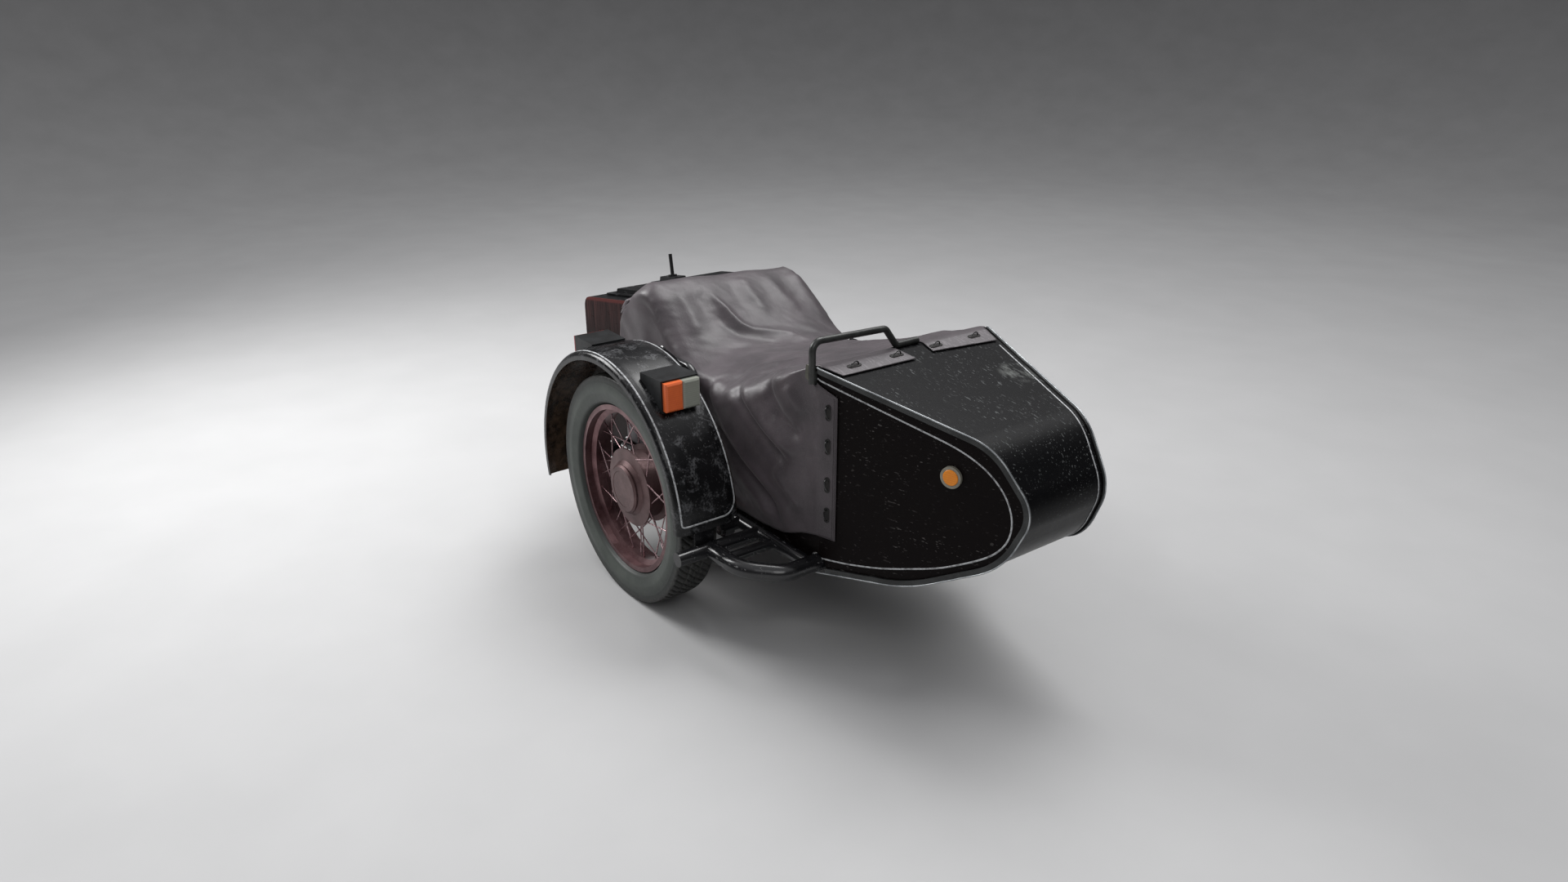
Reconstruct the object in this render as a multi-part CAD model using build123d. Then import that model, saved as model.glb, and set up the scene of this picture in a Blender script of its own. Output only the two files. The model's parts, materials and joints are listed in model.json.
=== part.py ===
from build123d import *
import math
import os

# Motorcycle sidecar, in millimetres.
# It is drawn about the wheel's axis: x forward, y towards the motorcycle, z up, and y = 0 on the
# tyre's outer face. The finished pieces are moved so that the origin is on the rear lower coupling.

SEAT_GAP = 0.3
PIN_GAP = 0.4

# Wheel
TYRE_RADIUS = 345
TYRE_HEIGHT = 91
TYRE_WIDTH = 127
RIM_FLANGE_HEIGHT = 11
RIM_WELL_DEPTH = 26
RIM_WIDTH = 88
RIM_SHEET = 4
SPOKE_COUNT = 36
SPOKE_RADIUS = 2
SPOKE_LEAN = 24
HUB_FLANGE_RADIUS = 118
HUB_DRUM_RADIUS = 102
HUB_WALL = 8
CAP_RADIUS = 74
CAP_FACE_Y = 16
SPINDLE_RADIUS = 12

RIM_FLANGE_RADIUS = TYRE_RADIUS - TYRE_HEIGHT
RIM_SEAT_RADIUS = RIM_FLANGE_RADIUS - RIM_FLANGE_HEIGHT
RIM_WELL_RADIUS = RIM_FLANGE_RADIUS - RIM_WELL_DEPTH
TYRE_WALL = 0.1 * TYRE_HEIGHT

# Fender
FENDER_CLEARANCE = 73
FENDER_OVERHANG = 45
FENDER_RADIUS = TYRE_RADIUS + FENDER_CLEARANCE
FENDER_X = -35
FENDER_Z = -5
FENDER_INNER_Y = TYRE_WIDTH + FENDER_OVERHANG
FENDER_OUTER_Y = -24
FENDER_SKIRT = 30
FENDER_SHEET = 3
FENDER_FRONT_ANGLE = 2
FENDER_REAR_ANGLE = 193

# Frame tubes
FRAME_Z = -50
CROSS_TUBE_RADIUS = 24
RAIL_RADIUS = 20
BRACE_RADIUS = 15
FENDER_TUBE_X = FENDER_X + FENDER_RADIUS + 2
BRACE_X = FENDER_TUBE_X + 73
FRONT_TUBE_X = FENDER_TUBE_X + 230
REAR_TUBE_X = FENDER_X - FENDER_RADIUS + 53
FENDER_TUBE_END_Y = -35
GUARD_Y = 70
GUARD_BEND = 110

# Body
BODY_CLEARANCE = 84
BODY_HALF_WIDTH = 294
BODY_RIGHT_Y = FENDER_INNER_Y + BODY_CLEARANCE
BODY_Y = BODY_RIGHT_Y + BODY_HALF_WIDTH
BODY_LEFT_Y = BODY_Y + BODY_HALF_WIDTH
BODY_SHEET = 3
TAPER_START_X = 622
TAPER_SLOPE = 0.303
FLOOR_Z = -22
DECK_SLOPE = 0.152
HUMP_X = -288
HUMP_Z = 462
VALLEY_Z = 285
TAIL_X = -650
SKIRT_Z = -75
NOSE_TOP_X = 600
NOSE_TOP_Z = 489
COCKPIT_FRONT_X = 572
BULKHEAD_X = -300
NOSE_CLOSE_X = FRONT_TUBE_X + 31
TAIL_CLOSE_X = -556

# Trunk
TRUNK_REAR_X = -585
TRUNK_FRONT_X = -345
TRUNK_HALF_WIDTH = 225
LID_OVERLAP = 16
LID_SHEET = 3
LID_LIFT = 2
LID_PANEL_RISE = 12
LID_HINGE_X = -322
STUD_X = -500
STUD_Y = BODY_Y - 35
STUD_RADIUS = 6
STUD_LENGTH = 78

# Edge beads
BEAD_PROUD = 6
BEAD_OVER = 4
BEAD_IN = 10
BEAD_START_X = 612

# Grab handle
HANDLE_X = 597
HANDLE_RADIUS = 9
HANDLE_RISE = 64
HANDLE_LEG = 43
HANDLE_OUTER_Y = BODY_RIGHT_Y - HANDLE_RADIUS
HANDLE_BEND_Y = BODY_Y - 65
HANDLE_FOOT_Y = BODY_Y - 26
HANDLE_END_Y = BODY_Y + 50

# Side reflector
REFLECTOR_X = 977
REFLECTOR_Z = 298
REFLECTOR_RADIUS = 20
BEZEL_RADIUS = 27

# Tonneau cover
COVER_THICK = 4
COVER_FRONT_X = 676
COVER_REAR_X = -305
COVER_HEM_Z = -24
FLAP_REAR_X = -370
FLAP_BAND_X = 650
TOP_BAND_X = 648
SHOULDER_SEAM = 30
DRAPE_END_X = 560

# Couplings to the motorcycle
COUPLING_X = -300
COUPLING_Y = BODY_LEFT_Y + 141
FRONT_COUPLING_X = 500
COLLET_RADIUS = 19
CLEVIS_BOLT_RADIUS = 7
STRUT_RADIUS = 12

RAIL_GAP = 4
OUTER_RAIL_Y = BODY_RIGHT_Y - RAIL_RADIUS - RAIL_GAP
INNER_RAIL_Y = BODY_LEFT_Y + RAIL_RADIUS + RAIL_GAP
WHEEL_MID_Y = TYRE_WIDTH / 2
ORIGIN = (COUPLING_X, COUPLING_Y, FRAME_Z)

# Farther from the origin than any piece, for cutting solids that run right through
FAR = 3000


def deck_z(x):
    """Height of the trunk deck's outer face."""
    return HUMP_Z + DECK_SLOPE * (x - HUMP_X)


def side_half_width(x):
    """Half the body's outer width at a station."""
    return BODY_HALF_WIDTH - TAPER_SLOPE * max(0, x - TAPER_START_X)


# Body side outline: x, z, corner radius
SIDE_OUTLINE = [
    (TAIL_X, SKIRT_Z, 90),
    (NOSE_TOP_X, SKIRT_Z, 300),
    (880, -28, 400),
    (1115, 105, 200),
    (1180, 258, 90),
    (1075, 393, 150),
    (NOSE_TOP_X, NOSE_TOP_Z, 60),
    (190, VALLEY_Z, 120),
    (10, VALLEY_Z, 80),
    (HUMP_X, HUMP_Z, 15),
    (TAIL_X, deck_z(TAIL_X), 40),
]

# Cover's cross-sections from the rear to the front: x, height, shoulder radius
COVER_SECTIONS = [
    (COVER_REAR_X, 464, 8),
    (-299, 482, 20),
    (-290, 497, 34),
    (-276, 508, 46),
    (-255, 514, 56),
    (-228, 513, 62),
    (-190, 501, 66),
    (-140, 471, 68),
    (-80, 428, 70),
    (-20, 388, 70),
    (45, 366, 68),
    (110, 361, 62),
    (190, 369, 56),
    (300, 397, 46),
    (400, 422, 32),
    (490, 450, 16),
    (530, 462, 8),
    (DRAPE_END_X, 474, 2),
]


def outline_face(rows):
    """A face in x and z from rows of x, z and corner radius."""
    points = [(x, z) for x, z, radius in rows]
    radii = [radius for x, z, radius in rows]
    return make_face(FilletPolyline(*points, radius=radii, close=True))


def plan_face(grow):
    """The body's plan, parallel sides and a tapered nose, grown by an amount."""
    half = BODY_HALF_WIDTH + grow
    tip_x = TAPER_START_X + 0.75 * BODY_HALF_WIDTH / TAPER_SLOPE
    tip_half = half - 0.75 * BODY_HALF_WIDTH
    points = [
        (-FAR, -half),
        (TAPER_START_X, -half),
        (tip_x, -tip_half),
        (tip_x, tip_half),
        (TAPER_START_X, half),
        (-FAR, half),
    ]
    return make_face(Polyline(*[(x, BODY_Y + y) for x, y in points], close=True))


def slab_y(face, y0, y1):
    """Extrude a face drawn in x and z from y0 to y1."""
    return extrude(Plane.XZ.offset(-y1) * face, amount=y1 - y0)


def slab_z(face, z0, z1):
    """Extrude a face drawn in x and y from z0 to z1."""
    return extrude(Plane.XY.offset(z0) * face, amount=z1 - z0)


def block(x0, x1, y0, y1, z0, z1):
    """A box between two corners."""
    centre = Pos((x0 + x1) / 2, (y0 + y1) / 2, (z0 + z1) / 2)
    return centre * Box(abs(x1 - x0), abs(y1 - y0), abs(z1 - z0))


def rod(start, end, radius):
    """A round bar between two points."""
    start = Vector(*start)
    end = Vector(*end)
    plane = Plane(origin=start, z_dir=end - start)
    return extrude(plane * Circle(radius), amount=(end - start).length)


def y_disc(x, z, radius, y0, y1):
    """A disc whose axis runs along y."""
    return rod((x, y0, z), (x, y1, z), radius)


def bent_tube(points, bend, radius):
    """A tube along straight runs joined by tangent bends."""
    path = FilletPolyline(*points, radius=bend)
    start = Vector(*points[0])
    section = Plane(origin=start, z_dir=Vector(*points[1]) - start) * Circle(radius)
    return sweep(section, path=path)


def turned(points, x=0, z=0):
    """A turned piece about an axis along y, from points of radius and y."""
    face = make_face(Polyline(*points, close=True))
    return Pos(x, 0, z) * revolve(face, Axis.Y)


def plan_solid(grow):
    return slab_z(plan_face(grow), -FAR, FAR)


def side_solid(rows, grow):
    face = outline_face(rows)
    if grow:
        face = offset(face, amount=grow)
    return slab_y(face, -FAR, FAR)


BODY_PLAN = plan_solid(0)
BODY_PLAN_INNER = plan_solid(-BODY_SHEET)
BODY_SIDE = side_solid(SIDE_OUTLINE, 0)
BODY_SIDE_INNER = side_solid(SIDE_OUTLINE, -BODY_SHEET)


def tyre():
    """Square-shouldered hollow casing, from its beads on the rim to the tread."""
    mid = WHEEL_MID_Y
    half = TYRE_WIDTH / 2
    seat = RIM_SEAT_RADIUS + SEAT_GAP
    bead_half = RIM_WIDTH / 2 - RIM_SHEET - SEAT_GAP
    height = TYRE_HEIGHT
    # radius, half width, corner radius
    outer = [
        (seat, bead_half, 0),
        (RIM_FLANGE_RADIUS + 0.02 * height, bead_half, 0.03 * height),
        (RIM_FLANGE_RADIUS + 0.09 * height, half - 0.09 * height, 0.09 * height),
        (TYRE_RADIUS - 0.55 * height, half, 0.33 * height),
        (TYRE_RADIUS - 0.03 * height, half - 0.04 * height, 0.1 * height),
        (TYRE_RADIUS, half - 0.45 * height, 0.4 * height),
    ]
    inner = [
        (seat, bead_half - 2 * TYRE_WALL, 0),
        (RIM_FLANGE_RADIUS + 0.22 * height, half - 2.4 * TYRE_WALL, 0.1 * height),
        (TYRE_RADIUS - 0.55 * height, half - TYRE_WALL, 0.2 * height),
        (TYRE_RADIUS - 2 * TYRE_WALL, half - 1.5 * TYRE_WALL, 0.15 * height),
    ]
    faces = []
    for rows in (outer, inner):
        low = [(radius, mid - y) for radius, y, bend in rows]
        high = [(radius, mid + y) for radius, y, bend in reversed(rows)]
        bends = [bend for radius, y, bend in rows]
        bends = bends + bends[::-1]
        faces.append(make_face(FilletPolyline(*(low + high), radius=bends, close=True)))
    return revolve(faces[0] - faces[1], Axis.Y)


def rim():
    half = RIM_WIDTH / 2
    # radius and half width of the tyre side, from the flange to the well
    rows = [
        (RIM_FLANGE_RADIUS, half),
        (RIM_FLANGE_RADIUS, half - RIM_SHEET),
        (RIM_SEAT_RADIUS, half - RIM_SHEET),
        (RIM_SEAT_RADIUS, half - 24),
        (RIM_WELL_RADIUS, half - 32),
    ]
    outer = [(r, WHEEL_MID_Y - y) for r, y in rows]
    outer += [(r, WHEEL_MID_Y + y) for r, y in reversed(rows)]
    rows = [
        (RIM_SEAT_RADIUS - RIM_SHEET, half),
        (RIM_SEAT_RADIUS - RIM_SHEET, half - 22),
        (RIM_WELL_RADIUS - RIM_SHEET, half - 30),
    ]
    inner = [(r, WHEEL_MID_Y + y) for r, y in rows]
    inner += [(r, WHEEL_MID_Y - y) for r, y in reversed(rows)]
    return turned(outer + inner)


HUB_FACE_Y = CAP_FACE_Y + 9
HUB_FLANGE_Y = HUB_FACE_Y + 15
HUB_BACK_Y = 106
FLANGE_THICK = 6


def hub():
    bore = SPINDLE_RADIUS + PIN_GAP
    points = [
        (bore, HUB_FACE_Y),
        (CAP_RADIUS - 4, HUB_FACE_Y),
        (CAP_RADIUS + 10, HUB_FLANGE_Y - 4),
        (HUB_FLANGE_RADIUS, HUB_FLANGE_Y),
        (HUB_FLANGE_RADIUS, HUB_FLANGE_Y + FLANGE_THICK),
        (HUB_DRUM_RADIUS, HUB_FLANGE_Y + FLANGE_THICK + 4),
        (HUB_DRUM_RADIUS, HUB_BACK_Y - FLANGE_THICK - 4),
        (HUB_FLANGE_RADIUS, HUB_BACK_Y - FLANGE_THICK),
        (HUB_FLANGE_RADIUS, HUB_BACK_Y),
        (HUB_DRUM_RADIUS - HUB_WALL, HUB_BACK_Y),
        (HUB_DRUM_RADIUS - HUB_WALL, HUB_FLANGE_Y + 16),
        (SPINDLE_RADIUS + 18, HUB_FLANGE_Y + 16),
        (SPINDLE_RADIUS + 14, HUB_BACK_Y),
        (bore, HUB_BACK_Y),
    ]
    return turned(points)


def hub_cap():
    back = HUB_FACE_Y - SEAT_GAP
    points = [
        (0, CAP_FACE_Y + 1),
        (CAP_RADIUS - 20, CAP_FACE_Y + 1),
        (CAP_RADIUS - 18, CAP_FACE_Y),
        (CAP_RADIUS - 6, CAP_FACE_Y),
        (CAP_RADIUS, CAP_FACE_Y + 5),
        (CAP_RADIUS, back),
        (0, back),
    ]
    return turned(points)


def spokes():
    """Crossed spokes from the two hub flanges to the rim's well."""
    inner = HUB_FLANGE_RADIUS + SEAT_GAP
    outer = RIM_WELL_RADIUS - RIM_SHEET - SEAT_GAP
    band = y_disc(0, 0, outer, 0, TYRE_WIDTH) - y_disc(0, 0, inner, -1, TYRE_WIDTH + 1)
    # y at the hub flange, y at the rim, sign of the lean
    rows = [
        (HUB_FLANGE_Y, WHEEL_MID_Y - 8, 1),
        (HUB_BACK_Y, WHEEL_MID_Y + 8, 1),
        (HUB_FLANGE_Y + FLANGE_THICK, WHEEL_MID_Y - 2, -1),
        (HUB_BACK_Y - FLANGE_THICK, WHEEL_MID_Y + 2, -1),
    ]
    bars = []
    for i in range(SPOKE_COUNT):
        hub_y, rim_y, sign = rows[i % len(rows)]
        at_rim = math.radians(360 * i / SPOKE_COUNT)
        at_hub = at_rim + math.radians(sign * SPOKE_LEAN)
        start = Vector(inner * math.cos(at_hub), hub_y, inner * math.sin(at_hub))
        end = Vector(outer * math.cos(at_rim), rim_y, outer * math.sin(at_rim))
        reach = (end - start).normalized() * 8
        bars.append(rod(start - reach, end + reach, SPOKE_RADIUS) & band)
    return bars


ARM_Y0 = 162
ARM_Y1 = 192
ARM_PIVOT_X = FENDER_TUBE_X - 85
ARM_EYE_RADIUS = 32
PIVOT_EYE_RADIUS = 25
PIVOT_PIN_RADIUS = 10
SHOCK_Y = 206
SHOCK_FOOT_X = 42
SHOCK_FOOT_Z = 22
SHOCK_TOP_X = -20
SHOCK_TOP_Z = FENDER_Z + FENDER_RADIUS - 128
SHOCK_PIN_RADIUS = 7
PLATE_Y0 = HUB_BACK_Y + 6
PLATE_Y1 = PLATE_Y0 + 4


def trailing_arm():
    eyes = Circle(ARM_EYE_RADIUS) + Pos(ARM_PIVOT_X, FRAME_Z) * Circle(PIVOT_EYE_RADIUS)
    web = make_hull(
        (Circle(20) + Pos(ARM_PIVOT_X, FRAME_Z) * Circle(14)).edges()
    )
    foot = Pos(SHOCK_FOOT_X, SHOCK_FOOT_Z) * Circle(18)
    arm = slab_y(eyes + web + foot, ARM_Y0, ARM_Y1)
    arm -= y_disc(0, 0, SPINDLE_RADIUS, ARM_Y0 - 1, ARM_Y1 + 1)
    arm -= y_disc(ARM_PIVOT_X, FRAME_Z, PIVOT_PIN_RADIUS + PIN_GAP, ARM_Y0 - 1, ARM_Y1 + 1)
    arm += y_disc(SHOCK_FOOT_X, SHOCK_FOOT_Z, SHOCK_PIN_RADIUS, ARM_Y1, SHOCK_Y + 16)
    return arm


def axle_spindle():
    nut = y_disc(0, 0, 19, ARM_Y1, ARM_Y1 + 12)
    return y_disc(0, 0, SPINDLE_RADIUS, HUB_FACE_Y + 1, ARM_Y1) + nut


def arm_pivot():
    stub = y_disc(ARM_PIVOT_X, FRAME_Z, 17, ARM_Y1 + SEAT_GAP, OUTER_RAIL_Y)
    pin = y_disc(ARM_PIVOT_X, FRAME_Z, PIVOT_PIN_RADIUS, ARM_Y0 - 10, OUTER_RAIL_Y)
    nut = y_disc(ARM_PIVOT_X, FRAME_Z, 17, ARM_Y0 - 10, ARM_Y0 - SEAT_GAP)
    return stub + pin + nut - outer_rail()


def brake_plate():
    bore = SPINDLE_RADIUS + PIN_GAP
    plate = turned(
        [
            (bore, PLATE_Y0),
            (HUB_DRUM_RADIUS - 4, PLATE_Y0),
            (HUB_DRUM_RADIUS, PLATE_Y1),
            (34, PLATE_Y1),
            (30, PLATE_Y1 + 10),
            (28, ARM_Y0),
            (bore, ARM_Y0),
        ]
    )
    lever = block(-10, 10, PLATE_Y1, PLATE_Y1 + 8, 40, 96)
    return plate + lever


def shock_absorber():
    """Lower tube and wider upper cover, with an eye at each end."""
    foot = Vector(SHOCK_FOOT_X, SHOCK_Y, SHOCK_FOOT_Z)
    top = Vector(SHOCK_TOP_X, SHOCK_Y, SHOCK_TOP_Z)
    length = (top - foot).length
    frame = Plane(origin=foot, x_dir=(0, 1, 0), z_dir=top - foot)
    # distance from the foot, radius
    rows = [
        (12, 0),
        (12, 9),
        (34, 9),
        (38, 20),
        (46, 20),
        (50, 15),
        (length * 0.55, 15),
        (length * 0.55, 20),
        (length - 34, 20),
        (length - 24, 9),
        (length - 12, 9),
        (length - 12, 0),
    ]
    face = make_face(Polyline(*[(r, s) for s, r in rows], close=True))
    body = frame * revolve(Plane.XZ * face, Axis.Z)
    for point in (foot, top):
        body += y_disc(point.X, point.Z, 15, SHOCK_Y - 12, SHOCK_Y + 12)
        body -= y_disc(point.X, point.Z, SHOCK_PIN_RADIUS + PIN_GAP, SHOCK_Y - 13, SHOCK_Y + 13)
    return body


ARCH_RADIUS = 13
ARCH_FRONT_X = 130
ARCH_REAR_X = -170
ARCH_TOP_Z = SHOCK_TOP_Z + 60


def suspension_arch():
    """Tube arch on the outer rail that holds the shock absorber's top pin."""
    points = [
        (ARCH_FRONT_X, OUTER_RAIL_Y, FRAME_Z),
        (ARCH_FRONT_X - 60, OUTER_RAIL_Y, ARCH_TOP_Z),
        (ARCH_REAR_X + 60, OUTER_RAIL_Y, ARCH_TOP_Z),
        (ARCH_REAR_X, OUTER_RAIL_Y, FRAME_Z),
    ]
    tube = bent_tube(points, 45, ARCH_RADIUS)
    lug = block(SHOCK_TOP_X - 16, SHOCK_TOP_X + 16, OUTER_RAIL_Y - 8, OUTER_RAIL_Y,
                SHOCK_TOP_Z - 16, ARCH_TOP_Z)
    pin = y_disc(SHOCK_TOP_X, SHOCK_TOP_Z, SHOCK_PIN_RADIUS, SHOCK_Y - 16, OUTER_RAIL_Y - 4)
    return tube + lug + pin - outer_rail()


def outer_rail():
    start = (REAR_TUBE_X, OUTER_RAIL_Y, FRAME_Z)
    end = (FRONT_TUBE_X, OUTER_RAIL_Y, FRAME_Z)
    return rod(start, end, RAIL_RADIUS) - front_cross_tube() - rear_cross_tube()


def inner_rail():
    start = (REAR_TUBE_X, INNER_RAIL_Y, FRAME_Z)
    end = (FRONT_TUBE_X, INNER_RAIL_Y, FRAME_Z)
    return rod(start, end, RAIL_RADIUS) - front_cross_tube() - rear_cross_tube()


def front_cross_tube():
    """Cross tube that turns back outside the body as a guard and meets the fender tube."""
    points = [
        (FRONT_TUBE_X, INNER_RAIL_Y + RAIL_RADIUS, FRAME_Z),
        (FRONT_TUBE_X, GUARD_Y + 80, FRAME_Z),
        (BRACE_X + 70, GUARD_Y, FRAME_Z),
        (FENDER_TUBE_X, GUARD_Y, FRAME_Z),
    ]
    return bent_tube(points, [60, GUARD_BEND], CROSS_TUBE_RADIUS) - fender_tube_bar()


def rear_cross_tube():
    start = (REAR_TUBE_X, 50, FRAME_Z)
    end = (REAR_TUBE_X, INNER_RAIL_Y + RAIL_RADIUS, FRAME_Z)
    return rod(start, end, CROSS_TUBE_RADIUS)


def fender_tube_bar():
    start = (FENDER_TUBE_X, FENDER_TUBE_END_Y, FRAME_Z)
    end = (FENDER_TUBE_X, OUTER_RAIL_Y, FRAME_Z)
    return rod(start, end, RAIL_RADIUS)


def fender_tube():
    return fender_tube_bar() - outer_rail()


def guard_brace():
    bar = rod((BRACE_X, GUARD_Y, FRAME_Z), (BRACE_X, OUTER_RAIL_Y, FRAME_Z), BRACE_RADIUS)
    return bar - outer_rail() - front_cross_tube()


def fender_ring(depth, grow):
    """The fender's outer form between two depths below its crown, as one revolved band."""
    crown = FENDER_RADIUS + grow
    low = FENDER_OUTER_Y - grow
    high = FENDER_INNER_Y + grow
    # radius, y, corner radius
    rows = [
        (crown - depth, low, 0),
        (crown - 8, low, 14),
        (crown, low + 34, 60),
        (crown, high - 34, 60),
        (crown - 8, high, 14),
        (crown - depth, high, 0),
    ]
    points = [(r, y) for r, y, bend in rows]
    face = make_face(FilletPolyline(*points, radius=[bend for r, y, bend in rows], close=True))
    sweep_angle = FENDER_REAR_ANGLE - FENDER_FRONT_ANGLE
    ring = revolve(face, Axis((0, 0, 0), (0, -1, 0)), revolution_arc=sweep_angle)
    return Pos(FENDER_X, 0, FENDER_Z) * Rot(0, -FENDER_FRONT_ANGLE, 0) * ring


def fender():
    skin = fender_ring(FENDER_SKIRT, 0) - fender_ring(FENDER_SKIRT + 20, -FENDER_SHEET)
    # the front end's inboard corner is rounded
    corner = 45
    front_x = FENDER_X + FENDER_RADIUS
    face = Pos(FENDER_INNER_Y, FENDER_Z) * Rectangle(2 * corner, 2 * corner)
    face -= Pos(FENDER_INNER_Y - corner, FENDER_Z + 15 + corner) * Circle(corner)
    face -= Pos(FENDER_INNER_Y - 1.5 * corner, FENDER_Z) * Rectangle(corner, 3 * corner)
    face -= Pos(FENDER_INNER_Y, FENDER_Z + 15 + 1.5 * corner) * Rectangle(3 * corner, corner)
    cutter = extrude(Plane.YZ.offset(front_x - 60) * face, amount=120)
    # the inner skirt is cut away where the rear cross tube passes
    notch = y_disc(REAR_TUBE_X, FRAME_Z, CROSS_TUBE_RADIUS + 6, FENDER_INNER_Y - 12, FAR)
    return skin - cutter - notch


def fender_brackets():
    """Front and rear tabs on the lateral tubes, and the strut from the arch."""
    within = fender_ring(FENDER_RADIUS / 2, -FENDER_SHEET - SEAT_GAP)
    crown_z = FENDER_Z + FENDER_RADIUS
    front = block(FENDER_TUBE_X - 26, FENDER_TUBE_X - 12, 30, 90, FRAME_Z, FRAME_Z + 110)
    front &= within + block(0, FAR, -FAR, FENDER_INNER_Y, FRAME_Z, FRAME_Z + 65)
    front -= fender_tube_bar()
    rear = block(REAR_TUBE_X - 60, REAR_TUBE_X, 50, 110, FRAME_Z - 6, FRAME_Z + 6)
    rear &= within
    rear -= rear_cross_tube()
    strut_x = SHOCK_TOP_X
    pad_y = FENDER_INNER_Y + 6
    strut = rod((strut_x, OUTER_RAIL_Y, ARCH_TOP_Z), (strut_x, pad_y, crown_z - 17), 9)
    strut -= suspension_arch()
    strut -= fender_ring(60, SEAT_GAP)
    strut += block(strut_x - 25, strut_x + 25, FENDER_INNER_Y + SEAT_GAP, pad_y,
                   crown_z - 28, crown_z - 11)
    return [front, rear, strut]


def lamp_row(facing, x_share, z_share, y0, width, height):
    """Lens face x, facing direction and the lens's box, placed by shares of the fender's radius."""
    x = FENDER_X + facing * x_share * FENDER_RADIUS
    z = FENDER_Z + z_share * FENDER_RADIUS
    return (x, facing, y0, y0 + width, z, z + height)


FRONT_LAMP = lamp_row(1, 0.7105, 0.764, 26, 106, 79)
REAR_LAMP = lamp_row(-1, 0.5933, 0.806, 32, 100, 66)
LENS_DEPTH = 20
LAMP_LIP = 5


def lamp_housing(row):
    """A wedge that stands on the fender, with a lip round the lens."""
    face_x, facing, y0, y1, z0, z1 = row
    back = face_x - facing * LENS_DEPTH
    tip = face_x - facing * 128
    points = [
        (back, z0 - 60),
        (back, z1 + LAMP_LIP),
        (tip, z1 + LAMP_LIP - 2),
        (tip, z1 - 40),
        (back - facing * 30, z0 - 60),
    ]
    wedge = slab_y(make_face(Polyline(*points, close=True)), y0 - LAMP_LIP, y1 + LAMP_LIP)
    return wedge - y_disc(FENDER_X, FENDER_Z, FENDER_RADIUS + SEAT_GAP, -FAR, FAR)


def lamp_lens(row, part_from, part_to):
    """A part of the lens block, as shares of its width."""
    face_x, facing, y0, y1, z0, z1 = row
    back = face_x - facing * (LENS_DEPTH - SEAT_GAP)
    start = y0 + (y1 - y0) * part_from + (SEAT_GAP if part_from else 0)
    end = y0 + (y1 - y0) * part_to
    lens = block(min(back, face_x), max(back, face_x), start, end, z0, z1)
    front = lens.faces().sort_by(Axis.X)[-1 if facing > 0 else 0]
    lens = chamfer(front.edges(), 5, 4)
    return lens - y_disc(FENDER_X, FENDER_Z, FENDER_RADIUS + SEAT_GAP, -FAR, FAR)


def tube_notches():
    """Cut-outs in the body's skirts where the two cross tubes pass."""
    cuts = []
    for x in (FRONT_TUBE_X, REAR_TUBE_X):
        radius = CROSS_TUBE_RADIUS + 4
        cuts.append(y_disc(x, FRAME_Z, radius, BODY_RIGHT_Y - 20, BODY_LEFT_Y + 20))
        cuts.append(block(x - radius, x + radius, BODY_RIGHT_Y - 20, BODY_LEFT_Y + 20,
                          SKIRT_Z - 20, FRAME_Z))
    return cuts


def side_panel(sign):
    panel = BODY_SIDE & (BODY_PLAN - BODY_PLAN_INNER)
    panel &= block(-FAR, FAR, BODY_Y, sign * FAR, -FAR, FAR)
    for cut in tube_notches():
        panel -= cut
    if sign > 0:
        return panel
    return panel - reflector_plane() * extrude(Circle(6 + SEAT_GAP), amount=-20)


def wrap_sheet(x0, x1):
    """The body's skin between the side panels, over a range of stations."""
    ring = (BODY_SIDE - BODY_SIDE_INNER) & BODY_PLAN_INNER
    return ring & block(x0, x1, -FAR, FAR, -FAR, FAR)


def nose_sheet():
    sheet = wrap_sheet(COCKPIT_FRONT_X, FAR)
    return sheet - block(0, NOSE_CLOSE_X, -FAR, FAR, -FAR, VALLEY_Z)


def tail_sheet():
    sheet = wrap_sheet(-FAR, BULKHEAD_X)
    sheet -= block(TAIL_CLOSE_X, 0, -FAR, FAR, -FAR, VALLEY_Z)
    return sheet - block(TRUNK_REAR_X, TRUNK_FRONT_X, BODY_Y - TRUNK_HALF_WIDTH,
                         BODY_Y + TRUNK_HALF_WIDTH, VALLEY_Z, FAR)


def floor_pan():
    """Floor with a turned-down flange at each end, where the nose and tail sheets meet it."""
    y0 = BODY_RIGHT_Y + BODY_SHEET
    y1 = BODY_LEFT_Y - BODY_SHEET
    pan = block(TAIL_CLOSE_X, NOSE_CLOSE_X, y0, y1, FLOOR_Z, FLOOR_Z + BODY_SHEET)
    for x in (TAIL_CLOSE_X, NOSE_CLOSE_X - BODY_SHEET):
        pan += block(x, x + BODY_SHEET, y0, y1, SKIRT_Z + BODY_SHEET, FLOOR_Z + BODY_SHEET)
    # swaged ribs along the floor
    spacing = 0.3 * BODY_HALF_WIDTH
    for i in range(-2, 3):
        y = BODY_Y + i * spacing
        pan += block(BULKHEAD_X + 50, COCKPIT_FRONT_X - 12, y - 9, y + 9, FLOOR_Z, FLOOR_Z + 9)
    return pan & BODY_PLAN_INNER & BODY_SIDE


def seat_bulkhead():
    y0 = BODY_RIGHT_Y + BODY_SHEET
    y1 = BODY_LEFT_Y - BODY_SHEET
    plate = block(BULKHEAD_X, BULKHEAD_X + BODY_SHEET, y0, y1, FLOOR_Z + BODY_SHEET, FAR)
    return plate & BODY_SIDE


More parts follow.
